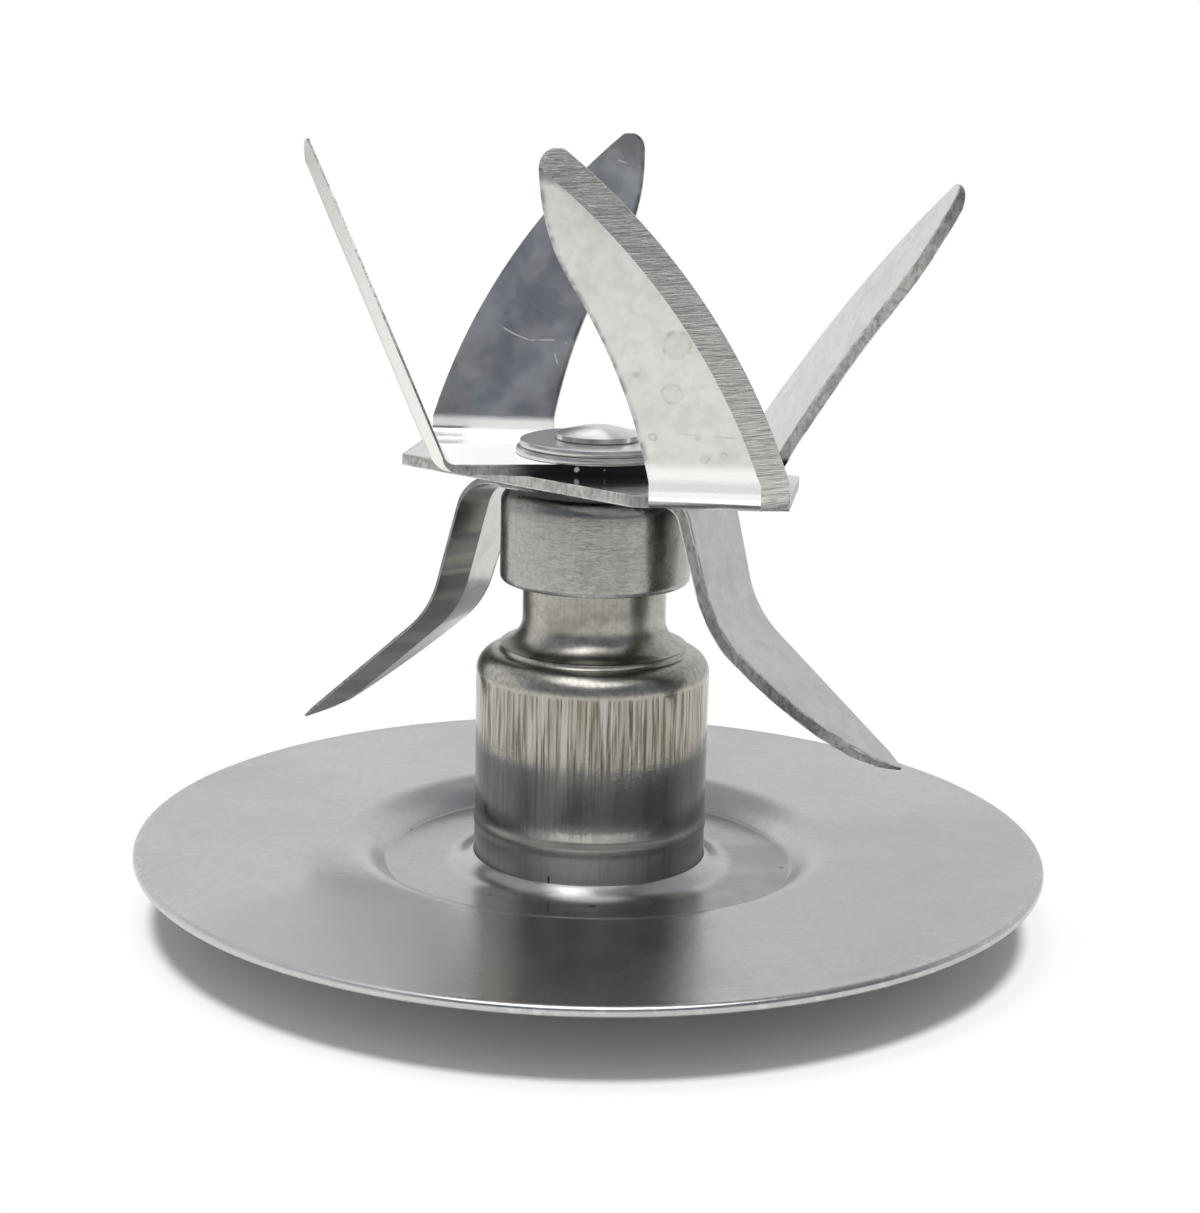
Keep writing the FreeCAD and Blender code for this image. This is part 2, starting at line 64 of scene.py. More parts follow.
class BladeSettings(bpy.types.PropertyGroup):
    """Sheet, bevels and steel of the blades"""

    thickness: FloatProperty(
        name="Sheet thickness",
        description="Thickness of the blade sheet",
        default=0.95 * MM, min=0.0, unit="LENGTH",
    )
    edge_thickness: FloatProperty(
        name="Ground edge",
        description="What the grinding leaves of the sheet at a cutting edge",
        default=0.2 * MM, min=0.0, unit="LENGTH",
    )
    bevel_width: FloatProperty(
        name="Bevel width",
        description="Width of the ground bevel beside a cutting edge",
        default=2.1 * MM, min=0.0, unit="LENGTH",
    )
    edge_break: FloatProperty(
        name="Edge break",
        description="Rounding of the sheared edges",
        default=0.07 * MM, min=0.0, unit="LENGTH",
    )
    bend_steps: IntProperty(
        name="Bend steps",
        description="Rows of faces round each bend",
        default=10, min=3,
    )
    colour: FloatVectorProperty(
        name="Steel",
        description="Colour of the blades' steel",
        default=(0.72, 0.72, 0.705), size=3, subtype="COLOR", min=0.0, max=1.0,
    )


class PlateSettings(bpy.types.PropertyGroup):
    """Sizes and steel of the base plate"""

    radius: FloatProperty(
        name="Radius",
        description="Outer radius of the base plate",
        default=37.98 * MM, min=0.0, unit="LENGTH",
    )
    thickness: FloatProperty(
        name="Thickness",
        description="Sheet thickness of the base plate",
        default=0.9 * MM, min=0.0, unit="LENGTH",
    )
    floor_radius: FloatProperty(
        name="Dish floor",
        description="Radius of the dish's flat floor",
        default=17.1 * MM, min=0.0, unit="LENGTH",
    )
    depth: FloatProperty(
        name="Dish depth",
        description="Depth of the dish round the hub",
        default=1.7 * MM, min=0.0, unit="LENGTH",
    )
    steps: IntProperty(
        name="Steps",
        description="Steps round the plate",
        default=192, min=24,
    )
    colour: FloatVectorProperty(
        name="Steel",
        description="Colour of the plate's steel",
        default=(0.56, 0.565, 0.565), size=3, subtype="COLOR", min=0.0, max=1.0,
    )


class HubSettings(bpy.types.PropertyGroup):
    """Sizes and metal of the hub and the cap"""

    radius: FloatProperty(
        name="Hub radius",
        description="Radius of the bearing hub",
        default=9.7 * MM, min=0.0, unit="LENGTH",
    )
    neck_radius: FloatProperty(
        name="Neck radius",
        description="Radius of the neck under the cap",
        default=5.93 * MM, min=0.0, unit="LENGTH",
    )
    shoulder: FloatProperty(
        name="Shoulder rounding",
        description="Rounding of the hub's shoulder",
        default=1.8 * MM, min=0.0, unit="LENGTH",
    )
    cap_radius: FloatProperty(
        name="Cap radius",
        description="Radius of the slinger cap",
        default=7.85 * MM, min=0.0, unit="LENGTH",
    )
    steps: IntProperty(
        name="Steps",
        description="Steps round the turned pieces",
        default=144, min=24,
    )
    colour: FloatVectorProperty(
        name="Metal",
        description="Colour of the hub and the cap",
        default=(0.47, 0.452, 0.415), size=3, subtype="COLOR", min=0.0, max=1.0,
    )


class StageSettings(bpy.types.PropertyGroup):
    """Camera and light"""

    camera_distance: FloatProperty(
        name="Camera distance",
        description="Distance of the camera in front of the shaft",
        default=196.0 * MM, min=0.0, unit="LENGTH",
    )
    camera_height: FloatProperty(
        name="Camera height",
        description="Height of the camera over the ground",
        default=70.7 * MM, min=0.0, unit="LENGTH",
    )
    camera_tilt: FloatProperty(
        name="Camera tilt",
        description="How far the camera looks down",
        default=math.radians(12.84), subtype="ANGLE",
    )
    camera_roll: FloatProperty(
        name="Camera roll",
        description="How far the camera leans to one side",
        default=math.radians(1.35), subtype="ANGLE",
    )
    focal_length: FloatProperty(
        name="Lens",
        description="Focal length in millimetres on a 36 mm sensor",
        default=72.0, min=1.0,
    )
    sky: FloatProperty(
        name="Sky light",
        description="Brightness of the light all round",
        default=0.55, min=0.0,
    )
    lamp: FloatProperty(
        name="Lamp",
        description="Power of the overhead lamp in watts",
        default=1.85, min=0.0,
    )


# Meshes made one by one


def start():
    """Leaves nothing selected, in object mode."""
    if bpy.context.object and bpy.context.object.mode != "OBJECT":
        bpy.ops.object.mode_set(mode="OBJECT")
    bpy.ops.object.select_all(action="DESELECT")


def made(name):
    """Names the active piece, with its place in its mesh."""
    piece = bpy.context.object
    bpy.ops.object.transform_apply(location=True, rotation=True, scale=True)
    piece.name = name
    piece.data.name = name
    return piece


def arc(centre, radius, first, last, steps):
    """Points of an arc in a half section, angles in degrees from the outward direction."""
    points = []
    for i in range(steps + 1):
        angle = math.radians(first + (last - first) * i / steps)
        points.append((centre[0] + radius * math.cos(angle), centre[1] + radius * math.sin(angle)))
    return points


# Runs longer than this get a point just inside both ends
LONG_RUN = 0.6 * MM
INSIDE_END = 0.06 * MM


def held(section, closed):
    """The section with those points added, so that its long runs stay flat when smoothed."""
    points = []
    for a, b in zip(section, section[1:] + (section[:1] if closed else [])):
        points.append(a)
        length = math.dist(a, b)
        if length > LONG_RUN:
            for share in (INSIDE_END / length, 1 - INSIDE_END / length):
                points.append((a[0] + (b[0] - a[0]) * share, a[1] + (b[1] - a[1]) * share))
    return points if closed else points + section[-1:]


def lathe(name, section, steps, closed=True):
    """Turns a half section, (radius, height) by (radius, height), round the shaft's axis."""
    section = held(section, closed)
    start()
    bpy.ops.mesh.primitive_plane_add(size=MM)
    bpy.ops.object.mode_set(mode="EDIT")
    bpy.ops.mesh.merge(type="CENTER")
    radius, height = section[0]
    bpy.ops.transform.translate(value=(radius, 0, height))
    route = list(section[1:]) + ([section[0]] if closed else [])
    for point in route:
        step = (point[0] - radius, 0, point[1] - height)
        bpy.ops.mesh.extrude_region_move(TRANSFORM_OT_translate={"value": step})
        radius, height = point
    bpy.ops.mesh.select_all(action="SELECT")
    bpy.ops.mesh.remove_doubles(threshold=0.001 * MM)
    bpy.ops.mesh.spin(steps=steps, angle=math.tau, center=(0, 0, 0), axis=(0, 0, 1))
    bpy.ops.mesh.select_all(action="SELECT")
    bpy.ops.mesh.remove_doubles(threshold=0.002 * MM)
    bpy.ops.mesh.normals_make_consistent(inside=False)
    bpy.ops.object.mode_set(mode="OBJECT")
    return made(name)


def finish_edges(piece, width, angle=35.0, segments=2):
    """Breaks the sharp edges and smooths the rest."""
    start()
    bpy.context.view_layer.objects.active = piece
    piece.select_set(True)
    if width > 0:
        breaks = piece.modifiers.new("Edge break", "BEVEL")
        breaks.width = width
        breaks.segments = segments
        breaks.limit_method = "ANGLE"
        breaks.angle_limit = math.radians(angle)
        breaks.use_clamp_overlap = True
        bpy.ops.object.modifier_apply(modifier=breaks.name)
    bpy.ops.object.shade_smooth_by_angle(angle=math.radians(angle))


def give(piece, *materials):
    """Gives the piece these finishes in place of any it has."""
    if piece.data.materials:
        piece.data.materials.clear()
    for material in materials:
        piece.data.materials.append(material)


def place(piece, body, slot, *nodes):
    """The piece rides on its body and stands for its nodes."""
    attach(piece, body)
    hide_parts(*nodes)


# Bent sheet


def bow(first, last, radius, side, steps):
    """The shorter arc between two points of an outline; side 1 bulges left of the way."""
    a, b = Vector(first), Vector(last)
    way = b - a
    left = Vector((-way.y, way.x)).normalized()
    centre = (a + b) / 2 - left * side * math.sqrt(max(radius**2 - way.length_squared / 4, 0.0))
    begin = math.atan2(a.y - centre.y, a.x - centre.x)
    sweep = math.atan2(b.y - centre.y, b.x - centre.x) - begin
    sweep = (sweep + math.pi) % math.tau - math.pi
    angles = [begin + sweep * i / steps for i in range(steps + 1)]
    return [(centre.x + radius * math.cos(angle), centre.y + radius * math.sin(angle)) for angle in angles]


def across_at(chain, up):
    """Where a chain of points, rising or falling, stands at a height."""
    for (x0, y0), (x1, y1) in zip(chain, chain[1:]):
        if min(y0, y1) <= up <= max(y0, y1) and y0 != y1:
            return x0 + (x1 - x0) * (up - y0) / (y1 - y0)
    return chain[-1][0] if abs(chain[-1][1] - up) < abs(chain[0][1] - up) else chain[0][0]


def up_at(chain, across):
    """How far up a chain of points is at a place across; level before its start and past its end."""
    for (x0, y0), (x1, y1) in zip(chain, chain[1:]):
        if x0 <= across <= x1 and x1 > x0:
            return y0 + (y1 - y0) * (across - x0) / (x1 - x0)
    return chain[0][1] if across < chain[0][0] else chain[-1][1]


class Scimitar:
    """Outline of an upright, across and up from the middle of its bend, in millimetres."""

    root = 5.3
    root_height = 1.9
    even_end = 3.2
    below_top = (2.6, 2.1, 1.7, 1.35, 1.05, 0.8, 0.6, 0.43, 0.29, 0.18, 0.1, 0.04)

    def __init__(self, drop=0.0, shift=0.0):
        """The tip stands lower by drop and further along by shift."""
        tip = (-11.4 + shift, 26.9 - drop)
        heel = (tip[0] - 1.9, tip[1] - 1.1)
        waist = (tip[0] - 0.5 - shift / 2, tip[1] - 8.4)
        back = bow((-self.root, self.root_height), waist, 45.0, -1, 24)
        back += bow(waist, heel, 18.0, 1, 12)[1:]
        crown = bow(heel, tip, 1.3, 1, 32)
        cutting = bow(tip, (self.root, self.root_height), 53.0, 1, 40)
        outline = back + crown[1:] + cutting[1:]
        for _ in range(6):
            back_end = len(back) - 1
            calm = outline[:]
            for i in range(2, back_end):
                (x0, y0), (x1, y1), (x2, y2) = outline[i - 1:i + 2]
                calm[i] = ((x0 + 2 * x1 + x2) / 4, (y0 + 2 * y1 + y2) / 4)
            outline = calm
        self.top = max(y for _, y in outline)
        peak = max(range(len(outline)), key=lambda i: outline[i][1])
        self.back = outline[: peak + 1]
        self.cutting = outline[peak:]

    def at(self, up):
        """Where the back and the cutting edge stand at a height."""
        if up <= self.root_height:
            return -self.root, self.root
        return across_at(self.back, up), across_at(self.cutting, up)

    def heights(self):
        """Heights of the rows: about 0.8 apart at first, closer near the top."""
        even = self.top - self.even_end - self.root_height
        count = int(even / 0.8)
        ups = [self.root_height + even * i / count for i in range(count + 1)]
        return ups + [self.top - below for below in self.below_top]

    def slope(self, up):
        """How far the cutting edge runs across for each step up."""
        return abs(across_at(self.cutting, up + 0.2) - across_at(self.cutting, up - 0.2)) / 0.4


def away_from(chain, x, y):
    """Distance of a point from a chain of points."""
    nearest = 1e9
    for (x0, y0), (x1, y1) in zip(chain, chain[1:]):
        run, rise = x1 - x0, y1 - y0
        share = max(0.0, min(1.0, ((x - x0) * run + (y - y0) * rise) / (run * run + rise * rise)))
        nearest = min(nearest, math.hypot(x - x0 - share * run, y - y0 - share * rise))
    return nearest


class Row:
    """One row of faces across a strip: a point of its middle line, its normal, and its width.

    The leading edge is the high one, or the low one once mirrored; ground is how deep its bevel is there.
    """

    def __init__(self, x, z, heading, low, high, ground=0.0, slope=0.0, away=None):
        self.x, self.z = x, z
        self.normal = (-math.sin(heading), math.cos(heading))
        self.low, self.high = low, high
        self.ground, self.slope, self.away = ground, slope, away
        self.flipped = False

    def mirrored(self):
        """The same row on the left, with its leading edge the low one."""
        row = Row(-self.x, self.z, 0.0, -self.high, -self.low, self.ground, self.slope, self.away)
        row.normal = (-self.normal[0], self.normal[1])
        row.flipped = True
        return row

    def depth(self, y, width):
        """How much of the sheet the grinding takes at a place across, from 0 to 1."""
        if not self.ground:
            return 0.0
        away = y - self.low if self.flipped else self.high - y
        if self.away:
            away = self.away(-y if self.flipped else y)
        return self.ground * max(0.0, 1.0 - away / width)


# Inner radius of an upright's bend, in millimetres
UPRIGHT_BEND = 0.9


def on_the_left(rows):
    """The same rows on the left, from the tip inwards."""
    return [row.mirrored() for row in reversed(rows)]


def upright_rows(reach, lean, offset, outline, half, steps):
    """Rows from the foot of the bend to the tip of a right-hand upright."""
    turn = math.radians(90 - lean)
    radius = UPRIGHT_BEND + half
    tail = radius * math.tan(turn / 2)
    low, high = outline.at(0.0)
    rows = []
    for i in range(steps + 1):
        angle = turn * i / steps
        x = reach - tail + radius * math.sin(angle)
        z = half + radius * (1 - math.cos(angle))
        rows.append(Row(x, z, angle, offset + low, offset + high, 0.35 + 0.65 * i / steps))
    rise = (math.cos(turn), math.sin(turn))
    for up in outline.heights():
        if up < tail + 0.2:
            continue
        low, high = outline.at(up)
        slope = outline.slope(min(up, outline.top - 1.2))
        away = functools.partial(lambda y, u: away_from(outline.cutting, y - offset, u), u=up)
        x, z = reach + up * rise[0], half + up * rise[1]
        rows.append(Row(x, z, turn, offset + low, offset + high, 1.0, slope, away))
    return rows


def places_across(row, ground):
    """The seven places across a row: its edges, the line behind each edge, and three between."""
    width = row.high - row.low
    bevel = ground * math.hypot(1.0, row.slope) if row.ground else 0.5
    behind_blunt, behind_bevel = min(0.5, width * 0.06), min(bevel, width * 0.8)
    low, high = (behind_bevel, behind_blunt) if row.flipped else (behind_blunt, behind_bevel)
    body = width - low - high
    between = [row.low + low + body * share for share in (0.25, 0.5, 0.75)]
    return [row.low, row.low + low, *between, row.high - high, row.high]


def finish_of(corners, ground_side):
    """Which finish a face has, from the side and the cut of its corners: 0 sheet, 1 bevel, 2 cut edge."""
    sides = {side for side, _ in corners}
    if len(sides) == 2:
        return 2
    if sides == {ground_side} and sum(cut for _, cut in corners) > 0.6:
        return 1
    return 0


def strip(name, rows, seat, azimuth, settings, wide=1.0):
    """A closed strip of sheet through its rows, ground on its underside."""
    t = settings.thickness / MM
    taken = t - settings.edge_thickness / MM
    ground = settings.bevel_width / MM * wide
    columns, lines, ground_side = 7, len(rows), -1
    start()
    bpy.ops.mesh.primitive_grid_add(x_subdivisions=columns - 1, y_subdivisions=lines - 1, size=2.0)
    bpy.ops.object.mode_set(mode="EDIT")
    bpy.ops.mesh.select_all(action="SELECT")
    bpy.ops.mesh.extrude_region_move(TRANSFORM_OT_translate={"value": (0, 0, 1)})
    piece = bpy.context.object
    mesh = bmesh.from_edit_mesh(piece.data)
    turn = math.radians(azimuth)
    lengths = [0.0]
    for a, b in zip(rows, rows[1:]):
        lengths.append(lengths[-1] + math.hypot(b.x - a.x, b.z - a.z))
    unrolled, cuts = {}, {}
    from_back = mesh.verts.layers.float.new("from_back")
    across = mesh.verts.layers.float.new("side")
    for vertex in mesh.verts:
        column = round((vertex.co.x + 1) / 2 * (columns - 1))
        line = round((vertex.co.y + 1) / 2 * (lines - 1))
        side = 1 if vertex.co.z > 0.5 else -1
        row = rows[line]
        y = places_across(row, ground)[column]
        cut = row.depth(y, ground) if side == ground_side else 0.0
        lift = side * (t / 2 - cut * taken)
        x = row.x + row.normal[0] * lift
        z = row.z + row.normal[1] * lift
        unrolled[vertex.index] = (y, lengths[line])
        cuts[vertex.index] = (side, cut)
        vertex[from_back] = row.high - y if row.flipped else y - row.low
        vertex[across] = side
        vertex.co = Vector((
            x * math.cos(turn) - y * math.sin(turn),
            x * math.sin(turn) + y * math.cos(turn),
            seat + z,
        )) * MM
    layer = mesh.loops.layers.uv.verify()
    for face in mesh.faces:
        face.material_index = finish_of([cuts[v.index] for v in face.verts], ground_side)
        for loop in face.loops:
            loop[layer].uv = unrolled[loop.vert.index]
    for edge in mesh.edges:
        if len({f.material_index for f in edge.link_faces}) > 1:
            edge.smooth = False
    bpy.ops.mesh.select_all(action="SELECT")
    bpy.ops.mesh.normals_make_consistent(inside=False)
    bmesh.update_edit_mesh(piece.data)
    bpy.ops.object.mode_set(mode="OBJECT")
    piece = made(name)
    finish_edges(piece, settings.edge_break, 36.0)
    return piece


# Shader nodes and groups


def new_group(name, inputs, outputs):
    """A node group with its sockets, and the nodes inside it that give and take them."""
    group = bpy.data.node_groups.new(name, "ShaderNodeTree")
    for label, kind, value in inputs:
        socket = group.interface.new_socket(name=label, in_out="INPUT", socket_type=kind)
        if value is not None:
            socket.default_value = value
    for label, kind in outputs:
        group.interface.new_socket(name=label, in_out="OUTPUT", socket_type=kind)
    return group, group.nodes.new("NodeGroupInput"), group.nodes.new("NodeGroupOutput")


def plug(tree, socket, value):
    """Links another node's output to a socket, or sets a value there."""
    if isinstance(value, bpy.types.NodeSocket):
        tree.links.new(value, socket)
    else:
        socket.default_value = value


def node(tree, kind, inputs=None, **settings):
    """Adds a node; an input is a value or another node's output."""
    item = tree.nodes.new(kind)
    for key, value in settings.items():
        setattr(item, key, value)
    for key, value in (inputs or {}).items():
        plug(tree, item.inputs[key], value)
    return item


def math_node(tree, operation, a, b=0.0, clamp=False):
    """Sum, product or other result of one or two numbers."""
    return node(tree, "ShaderNodeMath", {0: a, 1: b}, operation=operation, use_clamp=clamp).outputs[0]


def vector_node(tree, operation, a, b=None, output=0):
    """The same for vectors; output "Value" where the result is a number."""
    inputs = {0: a} if b is None else {0: a, 1: b}
    return node(tree, "ShaderNodeVectorMath", inputs, operation=operation).outputs[output]


def times(tree, *factors):
    """Multiplies masks and numbers."""
    product = factors[0]
    for factor in factors[1:]:
        product = math_node(tree, "MULTIPLY", product, factor)
    return product


def smooth_step(tree, value, low, high):
    """0 below low, 1 above high, smooth between."""
    inputs = {"Value": value, "From Min": low, "From Max": high}
    return node(tree, "ShaderNodeMapRange", inputs, interpolation_type="SMOOTHSTEP").outputs["Result"]


def mixed(tree, share, a, b):
    """Mixes two colours."""
    return node(tree, "ShaderNodeMix", {0: share, 6: a, 7: b}, data_type="RGBA").outputs[2]


def noise(tree, vector, scale, detail, roughness=0.5, output="Fac"):
    """Soft noise at a place."""
    inputs = {"Vector": vector, "Scale": scale, "Detail": detail, "Roughness": roughness}
    return node(tree, "ShaderNodeTexNoise", inputs).outputs[output]


def axis(tree, vector, name):
    """One part of a vector: X, Y or Z."""
    return node(tree, "ShaderNodeSeparateXYZ", {"Vector": vector}).outputs[name]


def rgba(colour):
    return (*colour, 1.0)


def grey(level):
    return (level, level, level)


def in_metres(point):
    return tuple(c * MM for c in point)


def grain_group():
    """Fine lines along one direction: the stretch squeezes the pattern on each axis."""
    group, given, out = new_group(
        "Directional grain",
        [("Vector", "NodeSocketVector", None), ("Stretch", "NodeSocketVector", (1.0, 1.0, 1.0)),
         ("Scale", "NodeSocketFloat", 1000.0), ("Detail", "NodeSocketFloat", 3.0)],
        [("Height", "NodeSocketFloat"), ("Mask", "NodeSocketFloat")],
    )
    squeezed = vector_node(group, "MULTIPLY", given.outputs["Vector"], given.outputs["Stretch"])
    height = noise(group, squeezed, given.outputs["Scale"], given.outputs["Detail"], 0.6)
    group.links.new(height, out.inputs["Height"])
    group.links.new(smooth_step(group, height, 0.42, 0.68), out.inputs["Mask"])
    return group


def ring_group():
    """The dried ring a drop of water leaves."""
    group, given, out = new_group(
        "Water spot",
        [("Vector", "NodeSocketVector", None), ("Centre", "NodeSocketVector", (0.0, 0.0, 0.0)),
         ("Radius", "NodeSocketFloat", 0.001), ("Width", "NodeSocketFloat", 0.00015)],
        [("Ring", "NodeSocketFloat"), ("Inside", "NodeSocketFloat")],
    )
    vector = given.outputs["Vector"]
    radius = given.outputs["Radius"]
    wobble = math_node(group, "SUBTRACT", noise(group, vector, 900.0, 2.0), 0.5)
    away = vector_node(group, "DISTANCE", vector, given.outputs["Centre"], "Value")
    shaken = math_node(group, "ADD", away, times(group, wobble, 0.0006))
    from_ring = math_node(group, "ABSOLUTE", math_node(group, "SUBTRACT", shaken, radius))
    share = math_node(group, "DIVIDE", from_ring, given.outputs["Width"])
    inside = math_node(group, "DIVIDE", shaken, radius)
    group.links.new(smooth_step(group, share, 1.0, 0.2), out.inputs["Ring"])
    group.links.new(smooth_step(group, inside, 1.05, 0.8), out.inputs["Inside"])
    return group


def scratch_group():
    """Sparse hairline scratches along one direction."""
    group, given, out = new_group(
        "Hairline scratches",
        [("Vector", "NodeSocketVector", None), ("Stretch", "NodeSocketVector", (1.0, 1.0, 1.0)),
         ("Scale", "NodeSocketFloat", 200.0), ("Amount", "NodeSocketFloat", 0.3)],
        [("Mask", "NodeSocketFloat")],
    )
    vector = given.outputs["Vector"]
    bent = noise(group, vector, 60.0, 1.0, output="Color")
    moved = vector_node(group, "MULTIPLY", bent, (0.004, 0.004, 0.004))
    route = vector_node(group, "ADD", vector, moved)
    squeezed = vector_node(group, "MULTIPLY", route, given.outputs["Stretch"])
    inputs = {"Vector": squeezed, "Scale": given.outputs["Scale"]}
    cells = node(group, "ShaderNodeTexVoronoi", inputs, feature="DISTANCE_TO_EDGE")
    line = smooth_step(group, cells.outputs["Distance"], 0.02, 0.004)
    patch = smooth_step(group, noise(group, vector, 170.0, 2.0), 0.58, 0.7)
    group.links.new(times(group, line, patch, given.outputs["Amount"]), out.inputs["Mask"])
    return group


def mark_group():
    """A single scratch from one place to another."""
    group, given, out = new_group(
        "Straight mark",
        [("Vector", "NodeSocketVector", None), ("Start", "NodeSocketVector", (0.0, 0.0, 0.0)),
         ("End", "NodeSocketVector", (0.001, 0.0, 0.0)), ("Width", "NodeSocketFloat", 0.0001)],
        [("Mask", "NodeSocketFloat")],
    )
    way = vector_node(group, "SUBTRACT", given.outputs["End"], given.outputs["Start"])
    there = vector_node(group, "SUBTRACT", given.outputs["Vector"], given.outputs["Start"])
    shadow = vector_node(group, "DOT_PRODUCT", there, way, "Value")
    whole = vector_node(group, "DOT_PRODUCT", way, way, "Value")
    along = math_node(group, "DIVIDE", shadow, whole, clamp=True)
    reached = node(group, "ShaderNodeVectorMath", {0: way, "Scale": along}, operation="SCALE").outputs[0]
    away = vector_node(group, "DISTANCE", there, reached, "Value")
    share = math_node(group, "DIVIDE", away, given.outputs["Width"])
    group.links.new(smooth_step(group, share, 1.0, 0.3), out.inputs["Mask"])
    return group


def pit_group():
    """Small scattered pits and specks."""
    group, given, out = new_group(
        "Pits",
        [("Vector", "NodeSocketVector", None), ("Scale", "NodeSocketFloat", 300.0),
         ("Share", "NodeSocketFloat", 0.2), ("Size", "NodeSocketFloat", 0.12)],
        [("Mask", "NodeSocketFloat")],
    )
    inputs = {"Vector": given.outputs["Vector"], "Scale": given.outputs["Scale"]}
    cells = node(group, "ShaderNodeTexVoronoi", inputs, feature="F1")
    chance = node(group, "ShaderNodeSeparateColor", {"Color": cells.outputs["Color"]}).outputs[0]
    chosen = math_node(group, "LESS_THAN", chance, given.outputs["Share"])
    share = math_node(group, "DIVIDE", cells.outputs["Distance"], given.outputs["Size"])
    group.links.new(times(group, smooth_step(group, share, 1.0, 0.55), chosen), out.inputs["Mask"])
    return group


GROUPS = {}


def build_groups():
    """Makes the groups that the finishes share."""
    GROUPS["grain"] = grain_group()
    GROUPS["ring"] = ring_group()
    GROUPS["scratch"] = scratch_group()
    GROUPS["pit"] = pit_group()
    GROUPS["mark"] = mark_group()


# Finishes


class Metal:
    """A finish: its shader, the places on the piece, and a colour, roughness and height that grow.

    Places, widths and heights over the ground are given in millimetres.
    """

    def __init__(self, name, colour, roughness, metallic=1.0, cast=(1.0, 1.0, 1.0)):
        self.material = bpy.data.materials.new(name)
        self.material.use_nodes = True
        self.tree = self.material.node_tree
        self.shader = self.tree.nodes["Principled BSDF"]
        self.shader.inputs["Metallic"].default_value = metallic
        self.shader.inputs["Roughness"].default_value = roughness
        places = self.tree.nodes.new("ShaderNodeTexCoord")
        self.here = places.outputs["Object"]
        self.uv = places.outputs["UV"]
        self.own = colour
        self.colour = rgba([c * k for c, k in zip(colour, cast)])
        self.roughness = roughness
        self.normal = None

    def tint(self, mask, colour, share=1.0):
        """Mixes in a colour."""
        if share != 1.0:
            mask = self.times(mask, share)
        self.colour = mixed(self.tree, mask, self.colour, rgba(colour))

    def shade(self, mask, share, red, green=None, blue=None):
        """Mixes in the metal's own colour, with its parts darker or lighter by these factors."""
        green = red if green is None else green
        blue = red if blue is None else blue
        self.tint(mask, (self.own[0] * red, self.own[1] * green, self.own[2] * blue), share)

    def roughen(self, mask, amount):
        """Adds roughness where the mask is."""
        self.roughness = math_node(self.tree, "ADD", self.roughness, self.times(mask, amount), True)

    def emboss(self, height, distance, strength):
        """Lays a relief over the one before."""
        inputs = {"Height": height, "Distance": distance * MM, "Strength": strength}
        if self.normal is not None:
            inputs["Normal"] = self.normal
        self.normal = node(self.tree, "ShaderNodeBump", inputs).outputs["Normal"]

    def done(self):
        """Joins everything to the shader and gives the material."""
        grown = {"Base Color": self.colour, "Roughness": self.roughness, "Normal": self.normal}
        for key, value in grown.items():
            if value is not None:
                plug(self.tree, self.shader.inputs[key], value)
        return self.material

    def times(self, *factors):
        return times(self.tree, *factors)

    def larger(self, a, b):
        return math_node(self.tree, "MAXIMUM", a, b)

    def span(self, mask, least, most):
        """The mask, made to run from least to most."""
        return math_node(self.tree, "ADD", self.times(mask, most - least), least)

    def axis(self, name):
        return axis(self.tree, self.here, name)

    def attribute(self, name):
        """A number that the mesh carries for each vertex."""
        return node(self.tree, "ShaderNodeAttribute", attribute_name=name).outputs["Fac"]

    def past(self, value, low, high):
        """0 up to low, 1 from high on."""
        return smooth_step(self.tree, value, low * MM, high * MM)

    def band(self, value, start, full, fade, end):
        """1 from full to fade, 0 outside start and end."""
        return self.times(self.past(value, start, full), self.past(value, end, fade))

    def cloud(self, scale, low, high, detail=3.0):
        """A soft blotchy mask."""
        return smooth_step(self.tree, noise(self.tree, self.here, scale, detail), low, high)

    def effect(self, name, **inputs):
        """A shared group, placed on the piece unless the inputs say where."""
        return node(self.tree, "ShaderNodeGroup", {"Vector": self.here, **inputs}, node_tree=GROUPS[name])

    def grain(self, scale, detail=3.0, stretch=(1.0, 1.0, 1.0)):
        """Mask and height of a fine grain."""
        lines = self.effect("grain", Stretch=stretch, Scale=scale, Detail=detail)
        return lines.outputs["Mask"], lines.outputs["Height"]

    def hairlines(self, scale, amount, stretch):
        """Mask of sparse hairline scratches."""
        return self.effect("scratch", Stretch=stretch, Scale=scale, Amount=amount).outputs["Mask"]

    def pits(self, scale, share, size):
        """Mask of small scattered pits."""
        return self.effect("pit", Scale=scale, Share=share, Size=size).outputs["Mask"]

    def spot(self, centre, radius, width, **where):
        """The ring and the inside of a round spot."""
        sizes = {"Centre": in_metres(centre), "Radius": radius * MM, "Width": width * MM}
        found = self.effect("ring", **sizes, **where)
        return found.outputs["Ring"], found.outputs["Inside"]

    def mark(self, first, last, width, **where):
        """A straight mark from one place to another."""
        sizes = {"Start": in_metres(first), "End": in_metres(last), "Width": width * MM}
        return self.effect("mark", **sizes, **where).outputs["Mask"]

    def squeezed_uv(self, across, along, lean=0.0):
        """Places on a bevel, scaled across and along it and turned a little."""
        inputs = {"Vector": self.uv, "Rotation": (0.0, 0.0, lean), "Scale": (across, along, 1.0)}
        return node(self.tree, "ShaderNodeMapping", inputs, vector_type="POINT").outputs[0]


# Pits in the dish and in front of it: place, radius
PLATE_PITS = (
    ((-15.6, 6.7, 0.0), 0.15),
    ((-7.9, -9.8, 0.0), 0.13),
    ((16.3, -1.3, 0.0), 0.13),
)
DULL_PATCH = (-17.5, -26.5, 6.0)


